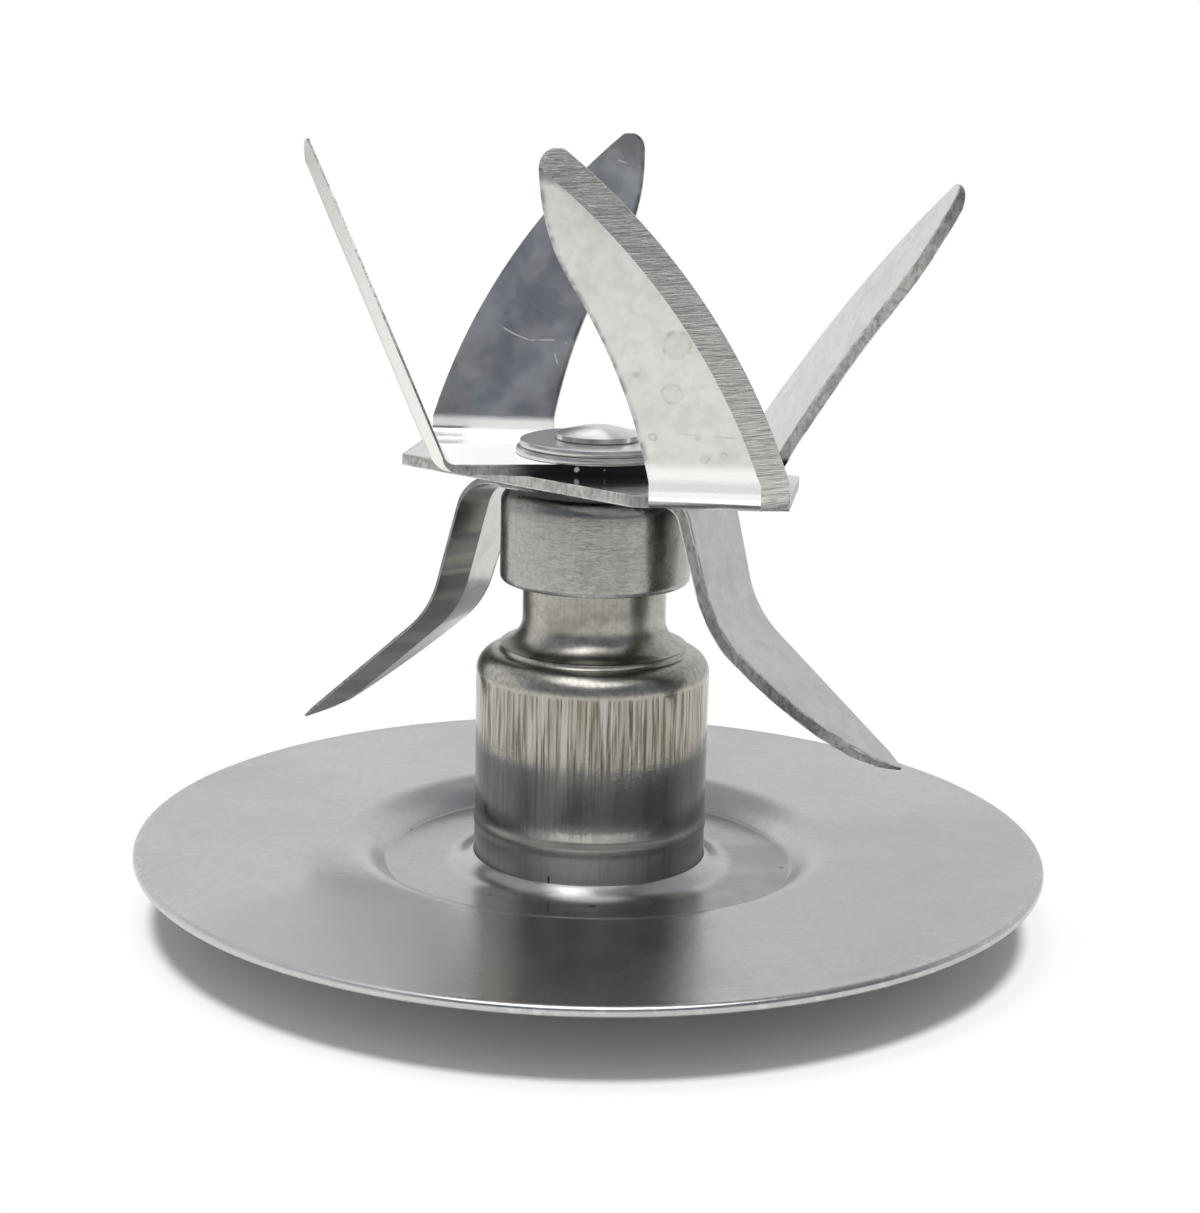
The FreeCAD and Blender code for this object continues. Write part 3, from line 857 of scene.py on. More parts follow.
def plate_steel(colour):
    """Satin steel: darker in the dish, specked at the rim, dull in one patch at the front left."""
    metal = Metal("Satin plate steel", colour, 0.22)
    tree = metal.tree
    fine, fine_height = metal.grain(1500.0, 4.0)
    rolled_height = metal.grain(900.0, stretch=(1.0, 0.06, 1.0))[1]
    metal.shade(metal.cloud(55.0, 0.35, 0.75), 1.0, 0.9, 0.905, 0.91)
    metal.shade(fine, 0.22, 0.72, 0.72, 0.73)
    metal.shade(metal.cloud(420.0, 0.5, 0.7), 0.2, 0.8, 0.8, 0.81)
    metal.tint(metal.hairlines(260.0, 0.5, (0.25, 1.0, 1.0)), grey(0.75), 0.5)
    metal.tint(metal.pits(210.0, 0.12, 0.09), grey(0.22))
    flat = vector_node(tree, "MULTIPLY", metal.here, (1.0, 1.0, 0.0))
    radius = vector_node(tree, "LENGTH", flat, output="Value")
    side = metal.axis("X")
    dish = metal.band(radius, 11.5, 12.5, 16.8, 17.6)
    dish_right = metal.times(dish, metal.past(side, -4.0, 12.0))
    rim = metal.past(radius, 37.1, 37.5)
    metal.tint(dish, grey(0.1), 0.16)
    metal.tint(metal.times(dish_right, metal.cloud(150.0, 0.35, 0.65, 5.0)), grey(0.1), 0.35)
    metal.tint(metal.times(rim, metal.cloud(1300.0, 0.5, 0.7, 4.0)), (0.8, 0.8, 0.79), 0.4)
    for centre, size in PLATE_PITS:
        metal.tint(metal.spot(centre, size, 0.1, Vector=flat)[1], grey(0.12))
    from_patch = vector_node(tree, "DISTANCE", metal.here, in_metres(DULL_PATCH), "Value")
    dull = metal.times(metal.past(from_patch, 17.0, 8.0), metal.past(side, -4.0, -15.0))
    metal.shade(dull, 0.6, 1.25)
    metal.roughen(dull, 0.24)
    metal.roughen(metal.cloud(90.0, 0.4, 0.7), 0.06)
    metal.emboss(fine_height, 0.02, 0.25)
    metal.emboss(rolled_height, 0.03, 0.12)
    metal.emboss(metal.cloud(140.0, 0.2, 0.8), 0.1, 0.05)
    return metal.done()


def hub_metal(colour):
    """Drawn metal: upright streaks on the barrel, grainy above it, smoother and darker on the foot, and a
    painted reflection low on the barrel.
    """
    metal = Metal("Drawn hub metal", colour, 0.14)
    height = metal.axis("Z")
    streaks = metal.grain(4200.0, 4.0, (1.0, 1.0, 0.035))[0]
    broad, broad_height = metal.grain(1250.0, 4.0, (1.0, 1.0, 0.06))
    speckle, speckle_height = metal.grain(2600.0)
    foot = metal.past(height, 9.4, 7.2)
    barrel = metal.band(height, 8.6, 9.4, 20.3, 20.7)
    painted_reflection_band = metal.band(height, 8.5, 9.2, 14.2, 15.1)
    shoulder = metal.band(height, 20.3, 20.7, 22.4, 22.6)
    groove = metal.band(height, 22.2, 22.8, 26.2, 28.5)
    neck = metal.past(height, 25.2, 26.2)
    above = metal.past(height, 20.3, 21.0)
    on_barrel = metal.times(barrel, metal.span(metal.past(height, 11.0, 17.0), 0.45, 1.0))
    metal.shade(metal.times(streaks, on_barrel), 0.92, 0.22, 0.19, 0.15)
    metal.shade(metal.times(broad, on_barrel), 0.5, 0.5, 0.46, 0.38)
    metal.shade(metal.times(streaks, neck), 0.45, 0.66, 0.64, 0.6)
    metal.shade(metal.times(speckle, shoulder), 0.3, 0.55)
    metal.roughen(metal.times(streaks, on_barrel), 0.12)
    metal.roughen(above, 0.15)
    metal.shade(foot, 0.36, 0.34, 0.37, 0.43)
    metal.shade(metal.times(broad, foot), 0.3, 0.4, 0.38, 0.35)
    metal.roughen(foot, 0.18)
    metal.tint(metal.mark((-3.2, -9.16, 5.05), (-3.2, -9.16, 5.5), 0.12), grey(0.05))
    # Painted reflection: the lower barrel is painted darker and bluer, most towards its sides, for the dark
    # plate it mirrors.
    sides = metal.past(math_node(metal.tree, "ABSOLUTE", metal.axis("X")), 2.0, 6.0)
    metal.shade(metal.times(painted_reflection_band, metal.span(sides, 0.24, 0.6)), 1.0, 0.3, 0.32, 0.37)
    metal.shade(metal.times(groove, metal.cloud(420.0, 0.45, 0.66, 5.0)), 0.5, 0.4, 0.38, 0.34)
    metal.shade(metal.times(speckle, above), 0.35, 0.5, 0.49, 0.46)
    metal.emboss(metal.times(broad_height, metal.span(barrel, 0.2, 1.0)), 0.05, 0.45)
    metal.emboss(speckle_height, 0.03, 0.2)
    return metal.done()


def cap_metal(colour):
    """Cap metal with the ripple of the drawing and a painted dark band at its top, a painted reflection of
    the blades' underside.
    """
    metal = Metal("Cap metal", colour, 0.24, cast=(1.0, 1.02, 1.08))
    ripple, ripple_height = metal.grain(2300.0, stretch=(0.45, 0.45, 1.5))
    drawn, drawn_height = metal.grain(1500.0, 4.0, (1.0, 1.0, 0.06))
    metal.shade(ripple, 0.4, 0.66)
    metal.shade(drawn, 0.3, 0.7, 0.68, 0.66)
    metal.shade(metal.grain(3000.0)[0], 0.4, 0.6)
    # Painted reflection: the cap's top is painted darker for the blades' underside it mirrors.
    metal.shade(metal.past(metal.axis("Z"), 33.8, 35.2), 0.45, 0.3, 0.3, 0.33)
    metal.roughen(metal.cloud(260.0, 0.4, 0.7), 0.08)
    metal.emboss(metal.cloud(330.0, 0.25, 0.75), 0.08, 0.25)
    metal.emboss(ripple_height, 0.05, 0.5)
    metal.emboss(drawn_height, 0.04, 0.25)
    return metal.done()


# Scratches on the far upright: from and to, sideways and up, and width
SCRATCHES = (
    ((-8.45, 47.11), (-7.56, 46.62), 0.1),
    ((-7.56, 46.62), (-6.22, 46.14), 0.1),
    ((-6.22, 46.14), (-4.0, 46.2), 0.11),
    ((-4.0, 46.2), (-2.94, 45.97), 0.11),
    ((-3.98, 44.99), (-3.69, 44.22), 0.13),
    ((1.2, 61.7), (1.9, 61.45), 0.09),
)

# Dried drops on the front upright: centre, radius, width of the ring
DROPS = (
    ((5.64, -17.6, 49.9), 1.0, 0.22),
    ((5.4, -16.9, 46.2), 0.78, 0.17),
    ((8.0, -16.1, 41.2), 0.36, 0.13),
    ((7.45, -16.4, 42.9), 0.2, 0.2),
    ((2.65, -17.0, 47.5), 0.18, 0.22),
    ((4.05, -16.2, 42.8), 0.2, 0.16),
    ((9.5, -16.3, 41.5), 0.16, 0.16),
)


def far_upright(metal, height, level):
    """Stains, a cloudy film and scratches on the far upright; gives the mask of what dulls it."""
    there = metal.past(metal.axis("Y"), 12.0, 13.5)
    metal.shade(metal.times(metal.cloud(210.0, 0.42, 0.62, 5.0), there), 0.5, 0.62, 0.5, 0.5)
    metal.shade(metal.times(metal.cloud(90.0, 0.45, 0.6), there), 0.35, 0.85, 0.92, 1.05)
    cloudy = metal.times(metal.cloud(320.0, 0.42, 0.62, 6.0), 0.17)
    cloudier = metal.times(metal.past(height, 55.0, 60.0), 0.07)
    film = metal.times(math_node(metal.tree, "ADD", cloudy, cloudier), there)
    marks = None
    for (x0, z0), (x1, z1), width in SCRATCHES:
        mark = metal.mark((x0, 0.0, z0), (x1, 0.0, z1), width, Vector=level)
        marks = mark if marks is None else metal.larger(marks, mark)
    marks = metal.times(marks, there, metal.cloud(900.0, 0.3, 0.55))
    metal.tint(marks, grey(0.7))
    return metal.larger(film, metal.times(marks, 0.55))


def front_upright(metal, height, level):
    """A faint line over the front upright's bend, and a painted highlight on the bend itself."""
    there = metal.past(metal.axis("Y"), -12.0, -13.5)
    line = metal.mark((4.6, 0.0, 43.2), (10.1, 0.0, 42.9), 0.12, Vector=level)
    metal.shade(metal.times(line, there, metal.cloud(700.0, 0.35, 0.6)), 0.35, 0.5, 0.5, 0.46)
    worn = smooth_step(metal.tree, metal.attribute("from_back"), 0.5, 0.05)
    patches = metal.span(metal.cloud(1100.0, 0.4, 0.6, 4.0), 0.25, 0.9)
    metal.shade(metal.times(worn, patches), 1.0, 0.35, 0.35, 0.34)
    # Painted highlight: the front upright's bend is painted near-white.
    metal.tint(metal.times(there, metal.past(height, 41.1, 40.0)), (0.97, 0.97, 0.96), 0.85)


def dried_drops(metal):
    """Rings of dried water, broken up and a little dull inside."""
    broken = metal.span(metal.cloud(1500.0, 0.38, 0.62), 0.25, 1.0)
    for centre, radius, width in DROPS:
        ring, inside = metal.spot(centre, radius, width)
        metal.shade(metal.times(ring, broken), 0.62, 0.58, 0.57, 0.52)
        metal.shade(inside, 0.2, 0.8, 0.79, 0.74)
        metal.roughen(inside, 0.06)


def blade_face(name, colour):
    """Polished blade sheet with dried drops, specks and hairlines, and painted highlights on its flats and
    its front bend.
    """
    metal = Metal(name, colour, 0.17)
    fine, fine_height = metal.grain(1400.0, 4.0)
    hairs = metal.hairlines(330.0, 0.3, (0.35, 0.35, 1.0))
    metal.shade(metal.cloud(160.0, 0.4, 0.75), 1.0, 0.93)
    metal.shade(metal.cloud(520.0, 0.48, 0.66, 6.0), 0.5, 0.78, 0.77, 0.74)
    metal.shade(fine, 0.5, 0.84, 0.84, 0.82)
    metal.tint(metal.pits(420.0, 0.1, 0.12), grey(0.4), 0.5)
    metal.tint(hairs, grey(0.85))
    metal.roughen(metal.cloud(240.0, 0.45, 0.75), 0.06)
    metal.roughen(hairs, 0.2)
    metal.emboss(fine_height, 0.02, 0.3)
    metal.emboss(metal.cloud(300.0, 0.2, 0.8), 0.1, 0.06)
    height = metal.axis("Z")
    level = vector_node(metal.tree, "MULTIPLY", metal.here, (1.0, 0.0, 1.0))
    filmed = far_upright(metal, height, level)
    front_upright(metal, height, level)
    # Painted reflection: the flats mirror the burnt-out ceiling, so between their two heights they are
    # painted a pale matt white.
    behind = metal.times(metal.past(metal.axis("Y"), 4.0, 5.5), metal.past(metal.axis("X"), -12.5, -10.8))
    lower_flat = metal.times(behind, metal.past(height, 37.45, 37.6))
    over_flats = metal.larger(metal.past(height, 38.45, 38.7), lower_flat)
    painted_ceiling_reflection = metal.times(over_flats, metal.past(height, 39.8, 39.0))
    metal.tint(painted_ceiling_reflection, (0.93, 0.93, 0.92))
    metal.roughen(painted_ceiling_reflection, 0.2)
    dull = metal.larger(metal.times(painted_ceiling_reflection, 0.9), filmed)
    plug(metal.tree, metal.shader.inputs["Metallic"], math_node(metal.tree, "SUBTRACT", 1.0, dull))
    dried_drops(metal)
    return metal.done()


def ground_steel(name, colour, depth):
    """Bevel with grinding marks across it; depth says how coarse they are."""
    metal = Metal(name, colour, 0.32, cast=(1.02, 1.01, 0.99))
    coarse = noise(metal.tree, metal.squeezed_uv(0.35, 4.5, 0.05), 1.0, 3.0, 0.65)
    fine = noise(metal.tree, metal.squeezed_uv(0.6, 11.0, 0.12), 1.0, 3.0, 0.65)
    metal.shade(smooth_step(metal.tree, coarse, 0.45, 0.66), 0.75 * depth, 0.52, 0.51, 0.49)
    metal.shade(smooth_step(metal.tree, fine, 0.45, 0.65), 0.6 * depth, 0.52, 0.51, 0.49)
    metal.emboss(coarse, 0.12 * depth, 0.5)
    metal.emboss(fine, 0.05 * depth, 0.5)
    return metal.done()


def polished_bevel(colour):
    """The lower blade's wide bevel: ground smooth, darkened and painted with dark bands and a pale glint, a
    painted reflection of the dark room in front.
    """
    # Painted reflection: the bevel's colour is cast darker for the dark room it mirrors.
    metal = Metal("Smooth bevel", colour, 0.2, cast=(0.72, 0.71, 0.69))
    painted_dark_bands = noise(metal.tree, metal.squeezed_uv(0.03, 0.33), 1.0, 1.5)
    fine, fine_height = metal.grain(1600.0, 4.0)
    # Painted reflection: dark bands along the bevel.
    metal.shade(smooth_step(metal.tree, painted_dark_bands, 0.46, 0.54), 0.65, 0.42, 0.43, 0.47)
    # Painted highlight: a pale glint across the bevel at one place along it.
    from_glint = math_node(metal.tree, "SUBTRACT", axis(metal.tree, metal.uv, "Y"), 20.6)
    glint = smooth_step(metal.tree, math_node(metal.tree, "ABSOLUTE", from_glint), 0.35, 0.1)
    metal.tint(glint, (0.8, 0.8, 0.78), 0.5)
    metal.shade(fine, 0.2, 0.5)
    metal.emboss(fine_height, 0.03, 0.3)
    return metal.done()


# Two painted glints on the upper blade's front edge, which is painted dark: place, radius
GLINTS = (
    ((-1.6, -5.65, 38.4), 0.14),
    ((0.55, -5.3, 38.35), 0.08),
)


def sheared_steel(name, colour, painted_dark_front=False):
    """The sheet's cut edge: a dull, torn band, smooth and painted near-black along the upper blade's front
    as painted reflection and shade, with two painted glints.
    """
    metal = Metal(name, colour, 0.36)
    torn, torn_height = metal.grain(3400.0, 4.0, (1.0, 1.0, 0.4))
    metal.shade(torn, 0.75, 0.42, 0.42, 0.41)
    metal.shade(metal.grain(900.0)[0], 0.25, 1.15)
    metal.shade(metal.cloud(620.0, 0.45, 0.62, 5.0), 0.5, 0.5, 0.5, 0.49)
    side = metal.attribute("side")
    under = smooth_step(metal.tree, side, -0.72, -0.9)
    over = metal.times(smooth_step(metal.tree, side, 0.7, 0.9), 0.6)
    rim = metal.times(metal.larger(under, over), metal.cloud(420.0, 0.42, 0.6, 4.0))
    metal.tint(rim, (0.88, 0.88, 0.87), 0.8)
    if painted_dark_front:
        # Painted reflection and shade: the upper blade's front edge over its flat is painted near-black.
        flat = metal.times(metal.past(metal.axis("Z"), 39.4, 39.0), metal.past(metal.axis("X"), -8.5, -5.0))
        metal.tint(flat, (0.03, 0.03, 0.035))
        # Painted highlights: two small pale glints on that edge.
        for centre, radius in GLINTS:
            metal.tint(metal.spot(centre, radius, 0.1)[1], grey(0.95))
    metal.emboss(torn_height, 0.08, 0.5)
    return metal.done()


def turned_steel(name, colour, roughness, metallic=1.0):
    """Turned and pressed steel with fine grain and a few specks."""
    metal = Metal(name, colour, roughness, metallic)
    fine, fine_height = metal.grain(1800.0, 4.0)
    metal.shade(fine, 0.2, 0.75)
    metal.tint(metal.pits(700.0, 0.12, 0.14), grey(0.2), 0.6)
    metal.emboss(fine_height, 0.03, 0.3)
    return metal.done()


def dull_finish(name, colour, roughness, metallic, scale):
    """Bronze, felt or rubber with a grain of its own scale."""
    metal = Metal(name, colour, roughness, metallic)
    fine, fine_height = metal.grain(scale, 4.0)
    metal.shade(fine, 1.0, 0.65)
    metal.emboss(fine_height, 0.1, 0.4)
    return metal.done()


STEELS = {}


def steel(name):
    """A finish by its short name."""
    return STEELS[name]


def build_materials(scene):
    """Makes every finish from the colours in the settings."""
    build_groups()
    blade = scene.blade_settings.colour
    hub = scene.hub_settings.colour
    STEELS["plate"] = plate_steel(scene.plate_settings.colour)
    STEELS["hub"] = hub_metal(hub)
    STEELS["cap"] = cap_metal(hub)
    STEELS["blade"] = blade_face("Blade sheet", blade)
    # Painted shade: the lower blade is the same steel as the others, painted darker to tone down the bright
    # ceiling its faces mirror.
    STEELS["lower blade"] = blade_face("Lower blade sheet painted darker", [c * 0.86 for c in blade])
    STEELS["bevel"] = ground_steel("Ground bevel", blade, 1.0)
    STEELS["fine bevel"] = ground_steel("Fine ground bevel", [min(c * 1.2, 0.86) for c in blade], 0.02)
    STEELS["smooth bevel"] = polished_bevel(blade)
    STEELS["middle edge"] = sheared_steel("Middle blade edge", [c * 0.8 for c in blade])
    STEELS["upper edge"] = sheared_steel("Upper blade edge", [c * 0.6 for c in blade], True)
    STEELS["lower edge"] = sheared_steel("Lower blade edge", [c * 0.46 for c in blade])
    STEELS["washer"] = turned_steel("Washer steel", (0.68, 0.68, 0.67), 0.27, 0.9)
    STEELS["shaft"] = turned_steel("Rivet steel", (0.68, 0.68, 0.67), 0.22, 0.92)
    STEELS["coupling"] = turned_steel("Coupling steel", grey(0.4), 0.4)
    STEELS["bronze"] = dull_finish("Bush bronze", (0.55, 0.4, 0.22), 0.4, 1.0, 2200.0)
    STEELS["felt"] = dull_finish("Wick felt", (0.42, 0.35, 0.25), 0.95, 0.0, 1600.0)
    STEELS["rubber"] = dull_finish("Seal rubber", grey(0.035), 0.6, 0.0, 2600.0)


# Pieces


class BLADES_OT_materials(bpy.types.Operator):
    """Builds the finishes and gives them to the inner pieces"""

    bl_idname = "blade_assembly.materials"
    bl_label = "Finishes"

    def execute(self, context):
        build_materials(context.scene)
        inner = {
            "lower_bush": "bronze", "upper_bush": "bronze", "oil_wick": "felt", "shaft_seal": "rubber",
            "neck_thrust_washer": "washer", "slip_washer": "washer", "bottom_thrust_washer": "washer",
            "retaining_ring": "washer",
        }
        for name, finish in inner.items():
            give(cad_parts[name], steel(finish))
        return {"FINISHED"}


# The collar's curve from the dish floor to its top: radius, rise
COLLAR_COVE = (
    (12.4, 0.0), (12.0, 0.012), (11.65, 0.04), (11.35, 0.09), (11.1, 0.16), (10.86, 0.255),
    (10.62, 0.38), (10.4, 0.515), (10.2, 0.65), (10.02, 0.775), (9.88, 0.865),
)


class BLADES_OT_base_plate(bpy.types.Operator):
    """Adds the dished base plate with its rounded rim"""

    bl_idname = "blade_assembly.base_plate"
    bl_label = "Base plate"

    def execute(self, context):
        s = context.scene.plate_settings
        low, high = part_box("base_plate")
        under, top = low.z, high.z
        floor = under + s.thickness
        sunk = floor - 0.3 * MM
        dish_edge = under + s.depth
        rim, wall = s.radius, s.floor_radius + 1.6 * MM
        bore, land = 8.92 * MM, 9.72 * MM
        section = [(bore, under)]
        section += [(s.floor_radius + 0.1 * MM, under), (s.floor_radius + 0.55 * MM, under + 0.14 * MM)]
        section += [(wall + 0.1 * MM, dish_edge - 0.14 * MM), (wall + 0.55 * MM, dish_edge)]
        section += [(rim - 0.45 * MM, dish_edge)]
        section += arc((rim - 0.42 * MM, dish_edge + 0.42 * MM), 0.42 * MM, -90, -4, 7)
        section += arc((rim - 0.36 * MM, top - 0.36 * MM), 0.36 * MM, 4, 84, 7)
        section += [(rim - 0.55 * MM, top), (rim - 0.95 * MM, top - 0.025 * MM)]
        section += [(rim - 1.5 * MM, top - 0.02 * MM), (rim - 6 * MM, top), (wall + 4 * MM, top)]
        section += arc((wall + 2.0 * MM, top - 3.8 * MM), 3.8 * MM, 90, 135, 12)
        section += arc((s.floor_radius - 0.19 * MM, sunk + 0.5 * MM), 0.5 * MM, -45, -90, 5)
        section += [(s.floor_radius - 1.2 * MM, sunk), (land + 3.6 * MM, sunk)]
        section += [(radius * MM, sunk + rise * MM) for radius, rise in COLLAR_COVE]
        section += [(land + 0.07 * MM, sunk + 0.915 * MM), (land, sunk + 0.86 * MM)]
        section += [(land, floor), (bore, floor)]
        plate = lathe("Base_plate", section, s.steps)
        finish_edges(plate, 0.0, 32.0)
        give(plate, steel("plate"))
        place(plate, "base", "plate_steel", "base_plate")
        return {"FINISHED"}


class BLADES_OT_bearing_housing(bpy.types.Operator):
    """Adds the hub with its foot, bead, shoulder, groove and neck"""

    bl_idname = "blade_assembly.bearing_housing"
    bl_label = "Bearing housing"

    def execute(self, context):
        s = context.scene.hub_settings
        low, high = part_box("bearing_housing")
        base, top = low.z, high.z
        floor = base + 1.7 * MM
        crimp = base + 0.8 * MM
        tube, bore = 8.4 * MM, 4.9 * MM
        r, neck = s.radius, s.neck_radius
        bead = floor + 3.5 * MM
        shoulder = floor + 16.25 * MM
        ledge_top = shoulder + s.shoulder
        ledge = 7.7 * MM
        neck_round = 2.2 * MM
        section = [(tube, base), (10.6 * MM, base), (10.8 * MM, base + 0.2 * MM)]
        section += [(10.8 * MM, base + 0.6 * MM), (10.6 * MM, crimp), (8.9 * MM, crimp), (8.9 * MM, floor)]
        section += [(r, floor)]
        for i in range(13):
            share = i / 12
            bulge = 0.07 * MM * math.sin(math.pi * share) ** 2
            section.append((r + bulge, bead + (1.6 * share - 0.8) * MM))
        section += [(r, shoulder - 1.0 * MM)]
        section += arc((r - s.shoulder, shoulder), s.shoulder, 0, 78, 12)
        section += [(ledge + 0.22 * MM, ledge_top - 0.03 * MM), (ledge + 0.08 * MM, ledge_top + 0.03 * MM)]
        section += [(ledge, ledge_top + 0.14 * MM)]
        section += arc((ledge - 0.32 * MM, ledge_top + 0.2 * MM), 0.32 * MM, 0, 84, 6)
        centre = (neck + neck_round, ledge_top + 0.5 * MM + neck_round)
        section += arc(centre, neck_round, -100, -180, 12)
        section += [(neck, top - 0.15 * MM), (neck - 0.15 * MM, top), (bore, top)]
        section += [(bore, ledge_top - 1.2 * MM), (tube, ledge_top - 1.2 * MM)]
        hub = lathe("Bearing_housing", section, s.steps)
        finish_edges(hub, 0.0, 34.0)
        give(hub, steel("hub"))
        place(hub, "base", "housing_steel", "bearing_housing")
        return {"FINISHED"}


class BLADES_OT_slinger_cap(bpy.types.Operator):
    """Adds the drawn cap that turns over the neck"""

    bl_idname = "blade_assembly.slinger_cap"
    bl_label = "Slinger cap"

    def execute(self, context):
        s = context.scene.hub_settings
        low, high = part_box("slinger_cap")
        base, top = low.z, high.z
        r, wall, bore = s.cap_radius, 0.8 * MM, 2.66 * MM
        section = [(bore, top), (r - 1.3 * MM, top)]
        section += arc((r - 1.15 * MM, top - 1.15 * MM), 1.15 * MM, 86, 0, 10)
        section += [(r, base + 0.5 * MM), (r - 0.03 * MM, base + 0.2 * MM), (r - 0.18 * MM, base)]
        section += [(r - 0.5 * MM, base), (r - wall + 0.06 * MM, base + 0.05 * MM)]
        section += [(r - wall, base + 0.25 * MM)]
        section += arc((r - wall - 0.7 * MM, top - wall - 0.7 * MM), 0.7 * MM, 0, 90, 6)
        section += [(bore, top - wall)]
        cap = lathe("Slinger_cap", section, s.steps)
        finish_edges(cap, 0.0, 34.0)
        give(cap, steel("cap"))
        place(cap, "rotor", "cap_steel", "slinger_cap")
        return {"FINISHED"}


# A lower arm's reach and half width, and its low edge, which sweeps up to the high one at the tip
ARM_REACH = 25.8
ARM_WIDE = 4.7
ARM_SWEEP = [(8.6, -ARM_WIDE)] + bow((12.0, -3.3), (ARM_REACH, 4.2), 13.1, -1, 40)


def arm_limits(x):
    """Both edges of a lower arm at a distance from the shaft."""
    low = up_at(ARM_SWEEP, x)
    past_corner = max(0.0, (x - ARM_REACH + 0.95) / 0.95)
    return low, max(ARM_WIDE - 0.5 * past_corner, low + 0.12)


def arm_rows(corner, bend, drop, run, flare, half, steps):
    """Rows of a right-hand lower arm: flat to its corner, bent down, straight for its run, flared out."""
    rows = []
    radius, flare_radius = bend + half, 9.0
    down, turn = math.radians(drop), math.radians(flare)
    flat = corner - radius * math.tan(down / 2)

    def add(x, z, heading, bevel=1.0):
        rows.append(Row(x, z, heading, *arm_limits(x), bevel))

    for x in (2.0, 4.0, 6.0, 7.2):
        if x < flat - 0.2:
            add(x, half, 0.0, 0.0)
    for i in range(steps + 1):
        angle = down * i / steps
        x = flat + radius * math.sin(angle)
        z = half - radius * (1 - math.cos(angle))
        add(x, z, -angle, 0.3 + 0.7 * i / steps)
    for i in range(1, 6):
        gone = run * i / 5
        add(x + gone * math.cos(down), z - gone * math.sin(down), -down)
    x += run * math.cos(down)
    z -= run * math.sin(down)
    for i in range(1, steps + 1):
        angle = down - turn * i / steps
        outward = flare_radius * (math.sin(down) - math.sin(angle))
        lifted = flare_radius * (math.cos(down) - math.cos(angle))
        add(x + outward, z + lifted, -angle)
    last = rows[-1]
    left = ARM_REACH - last.x
    fall = left * math.tan(down - turn)
    for share in (0.15, 0.3, 0.45, 0.6, 0.72, 0.82, 0.9, 0.95, 0.98, 1.0):
        add(last.x + left * share, last.z - fall * share, turn - down)
    return rows


class BLADES_OT_lower_blade(bpy.types.Operator):
    """Adds the lower blade, whose two arms drop and flare outwards"""

    bl_idname = "blade_assembly.lower_blade"
    bl_label = "Lower blade"

    def execute(self, context):
        s = context.scene.blade_settings
        half = s.thickness / MM / 2
        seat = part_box("middle_blade")[0].z / MM - 2 * half
        sheet = {"half": half, "steps": s.bend_steps}
        right = arm_rows(corner=9.6, bend=1.4, drop=76.0, run=6.1, flare=36.0, **sheet)
        left = on_the_left(arm_rows(corner=9.4, bend=2.825, drop=74.13, run=7.0, flare=33.3, **sheet))
        middle = Row(0.0, half, 0.0, -ARM_WIDE, ARM_WIDE)
        blade = strip("Lower_blade", left + [middle] + right, seat, -28.0, s, wide=1.75)
        give(blade, steel("lower blade"), steel("smooth bevel"), steel("lower edge"))
        place(blade, "rotor", "blade_steel", "lower_blade")
        return {"FINISHED"}


class BLADES_OT_middle_blade(bpy.types.Operator):
    """Adds the middle blade: two offset uprights on a wide flat plate"""

    bl_idname = "blade_assembly.middle_blade"
    bl_label = "Middle blade"

    def execute(self, context):
        s = context.scene.blade_settings
        half = s.thickness / MM / 2
        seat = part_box("middle_blade")[0].z / MM
        reach, lean, offset = 14.5, 10.5, 10.0
        near, far = Scimitar(drop=0.06, shift=-0.4), Scimitar(drop=0.06, shift=0.8)
        front = upright_rows(reach, lean, offset, near, half, s.bend_steps)
        back = on_the_left(upright_rows(reach, lean, offset, far, half, s.bend_steps))
        inner, outer = offset - Scimitar.root, offset + Scimitar.root
        lower = [(-reach, -outer), (-2.6, -16.4), (reach, inner)]
        upper = [(-reach, -inner), (2.6, 16.4), (reach, outer)]
        flat_end = front[0].x - 0.3
        flats = []
        for x in (-flat_end, -9.0, -6.0, -4.0, -2.6, -1.0, 1.0, 2.6, 4.0, 6.0, 9.0, flat_end):
            flats.append(Row(x, half, 0.0, up_at(lower, x), up_at(upper, x)))
        for row in (front[0], back[-1]):
            row.low, row.high = up_at(lower, row.x), up_at(upper, row.x)
        blade = strip("Middle_blade", back + flats + front, seat, -93.0, s)
        give(blade, steel("blade"), steel("bevel"), steel("middle edge"))
        place(blade, "rotor", "blade_steel", "middle_blade")
        return {"FINISHED"}


class BLADES_OT_upper_blade(bpy.types.Operator):
    """Adds the upper blade, whose uprights lean further out"""

    bl_idname = "blade_assembly.upper_blade"
    bl_label = "Upper blade"

    def execute(self, context):
        s = context.scene.blade_settings
        half = s.thickness / MM / 2
        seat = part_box("upper_blade")[0].z / MM
        root = Scimitar.root
        right = upright_rows(13.8, 27.8, 0.0, Scimitar(drop=1.0), half, s.bend_steps)
        left = on_the_left(upright_rows(13.1, 22.5, 0.0, Scimitar(drop=0.2), half, s.bend_steps))
        flats = [Row(x, half, 0.0, -root, root) for x in (-11.0, -8.0, -4.0, 0.0, 4.0, 8.0, 11.0)]
        blade = strip("Upper_blade", left + flats + right, seat, 9.0, s)
        give(blade, steel("blade"), steel("fine bevel"), steel("upper edge"))
        place(blade, "rotor", "blade_steel", "upper_blade")
        return {"FINISHED"}


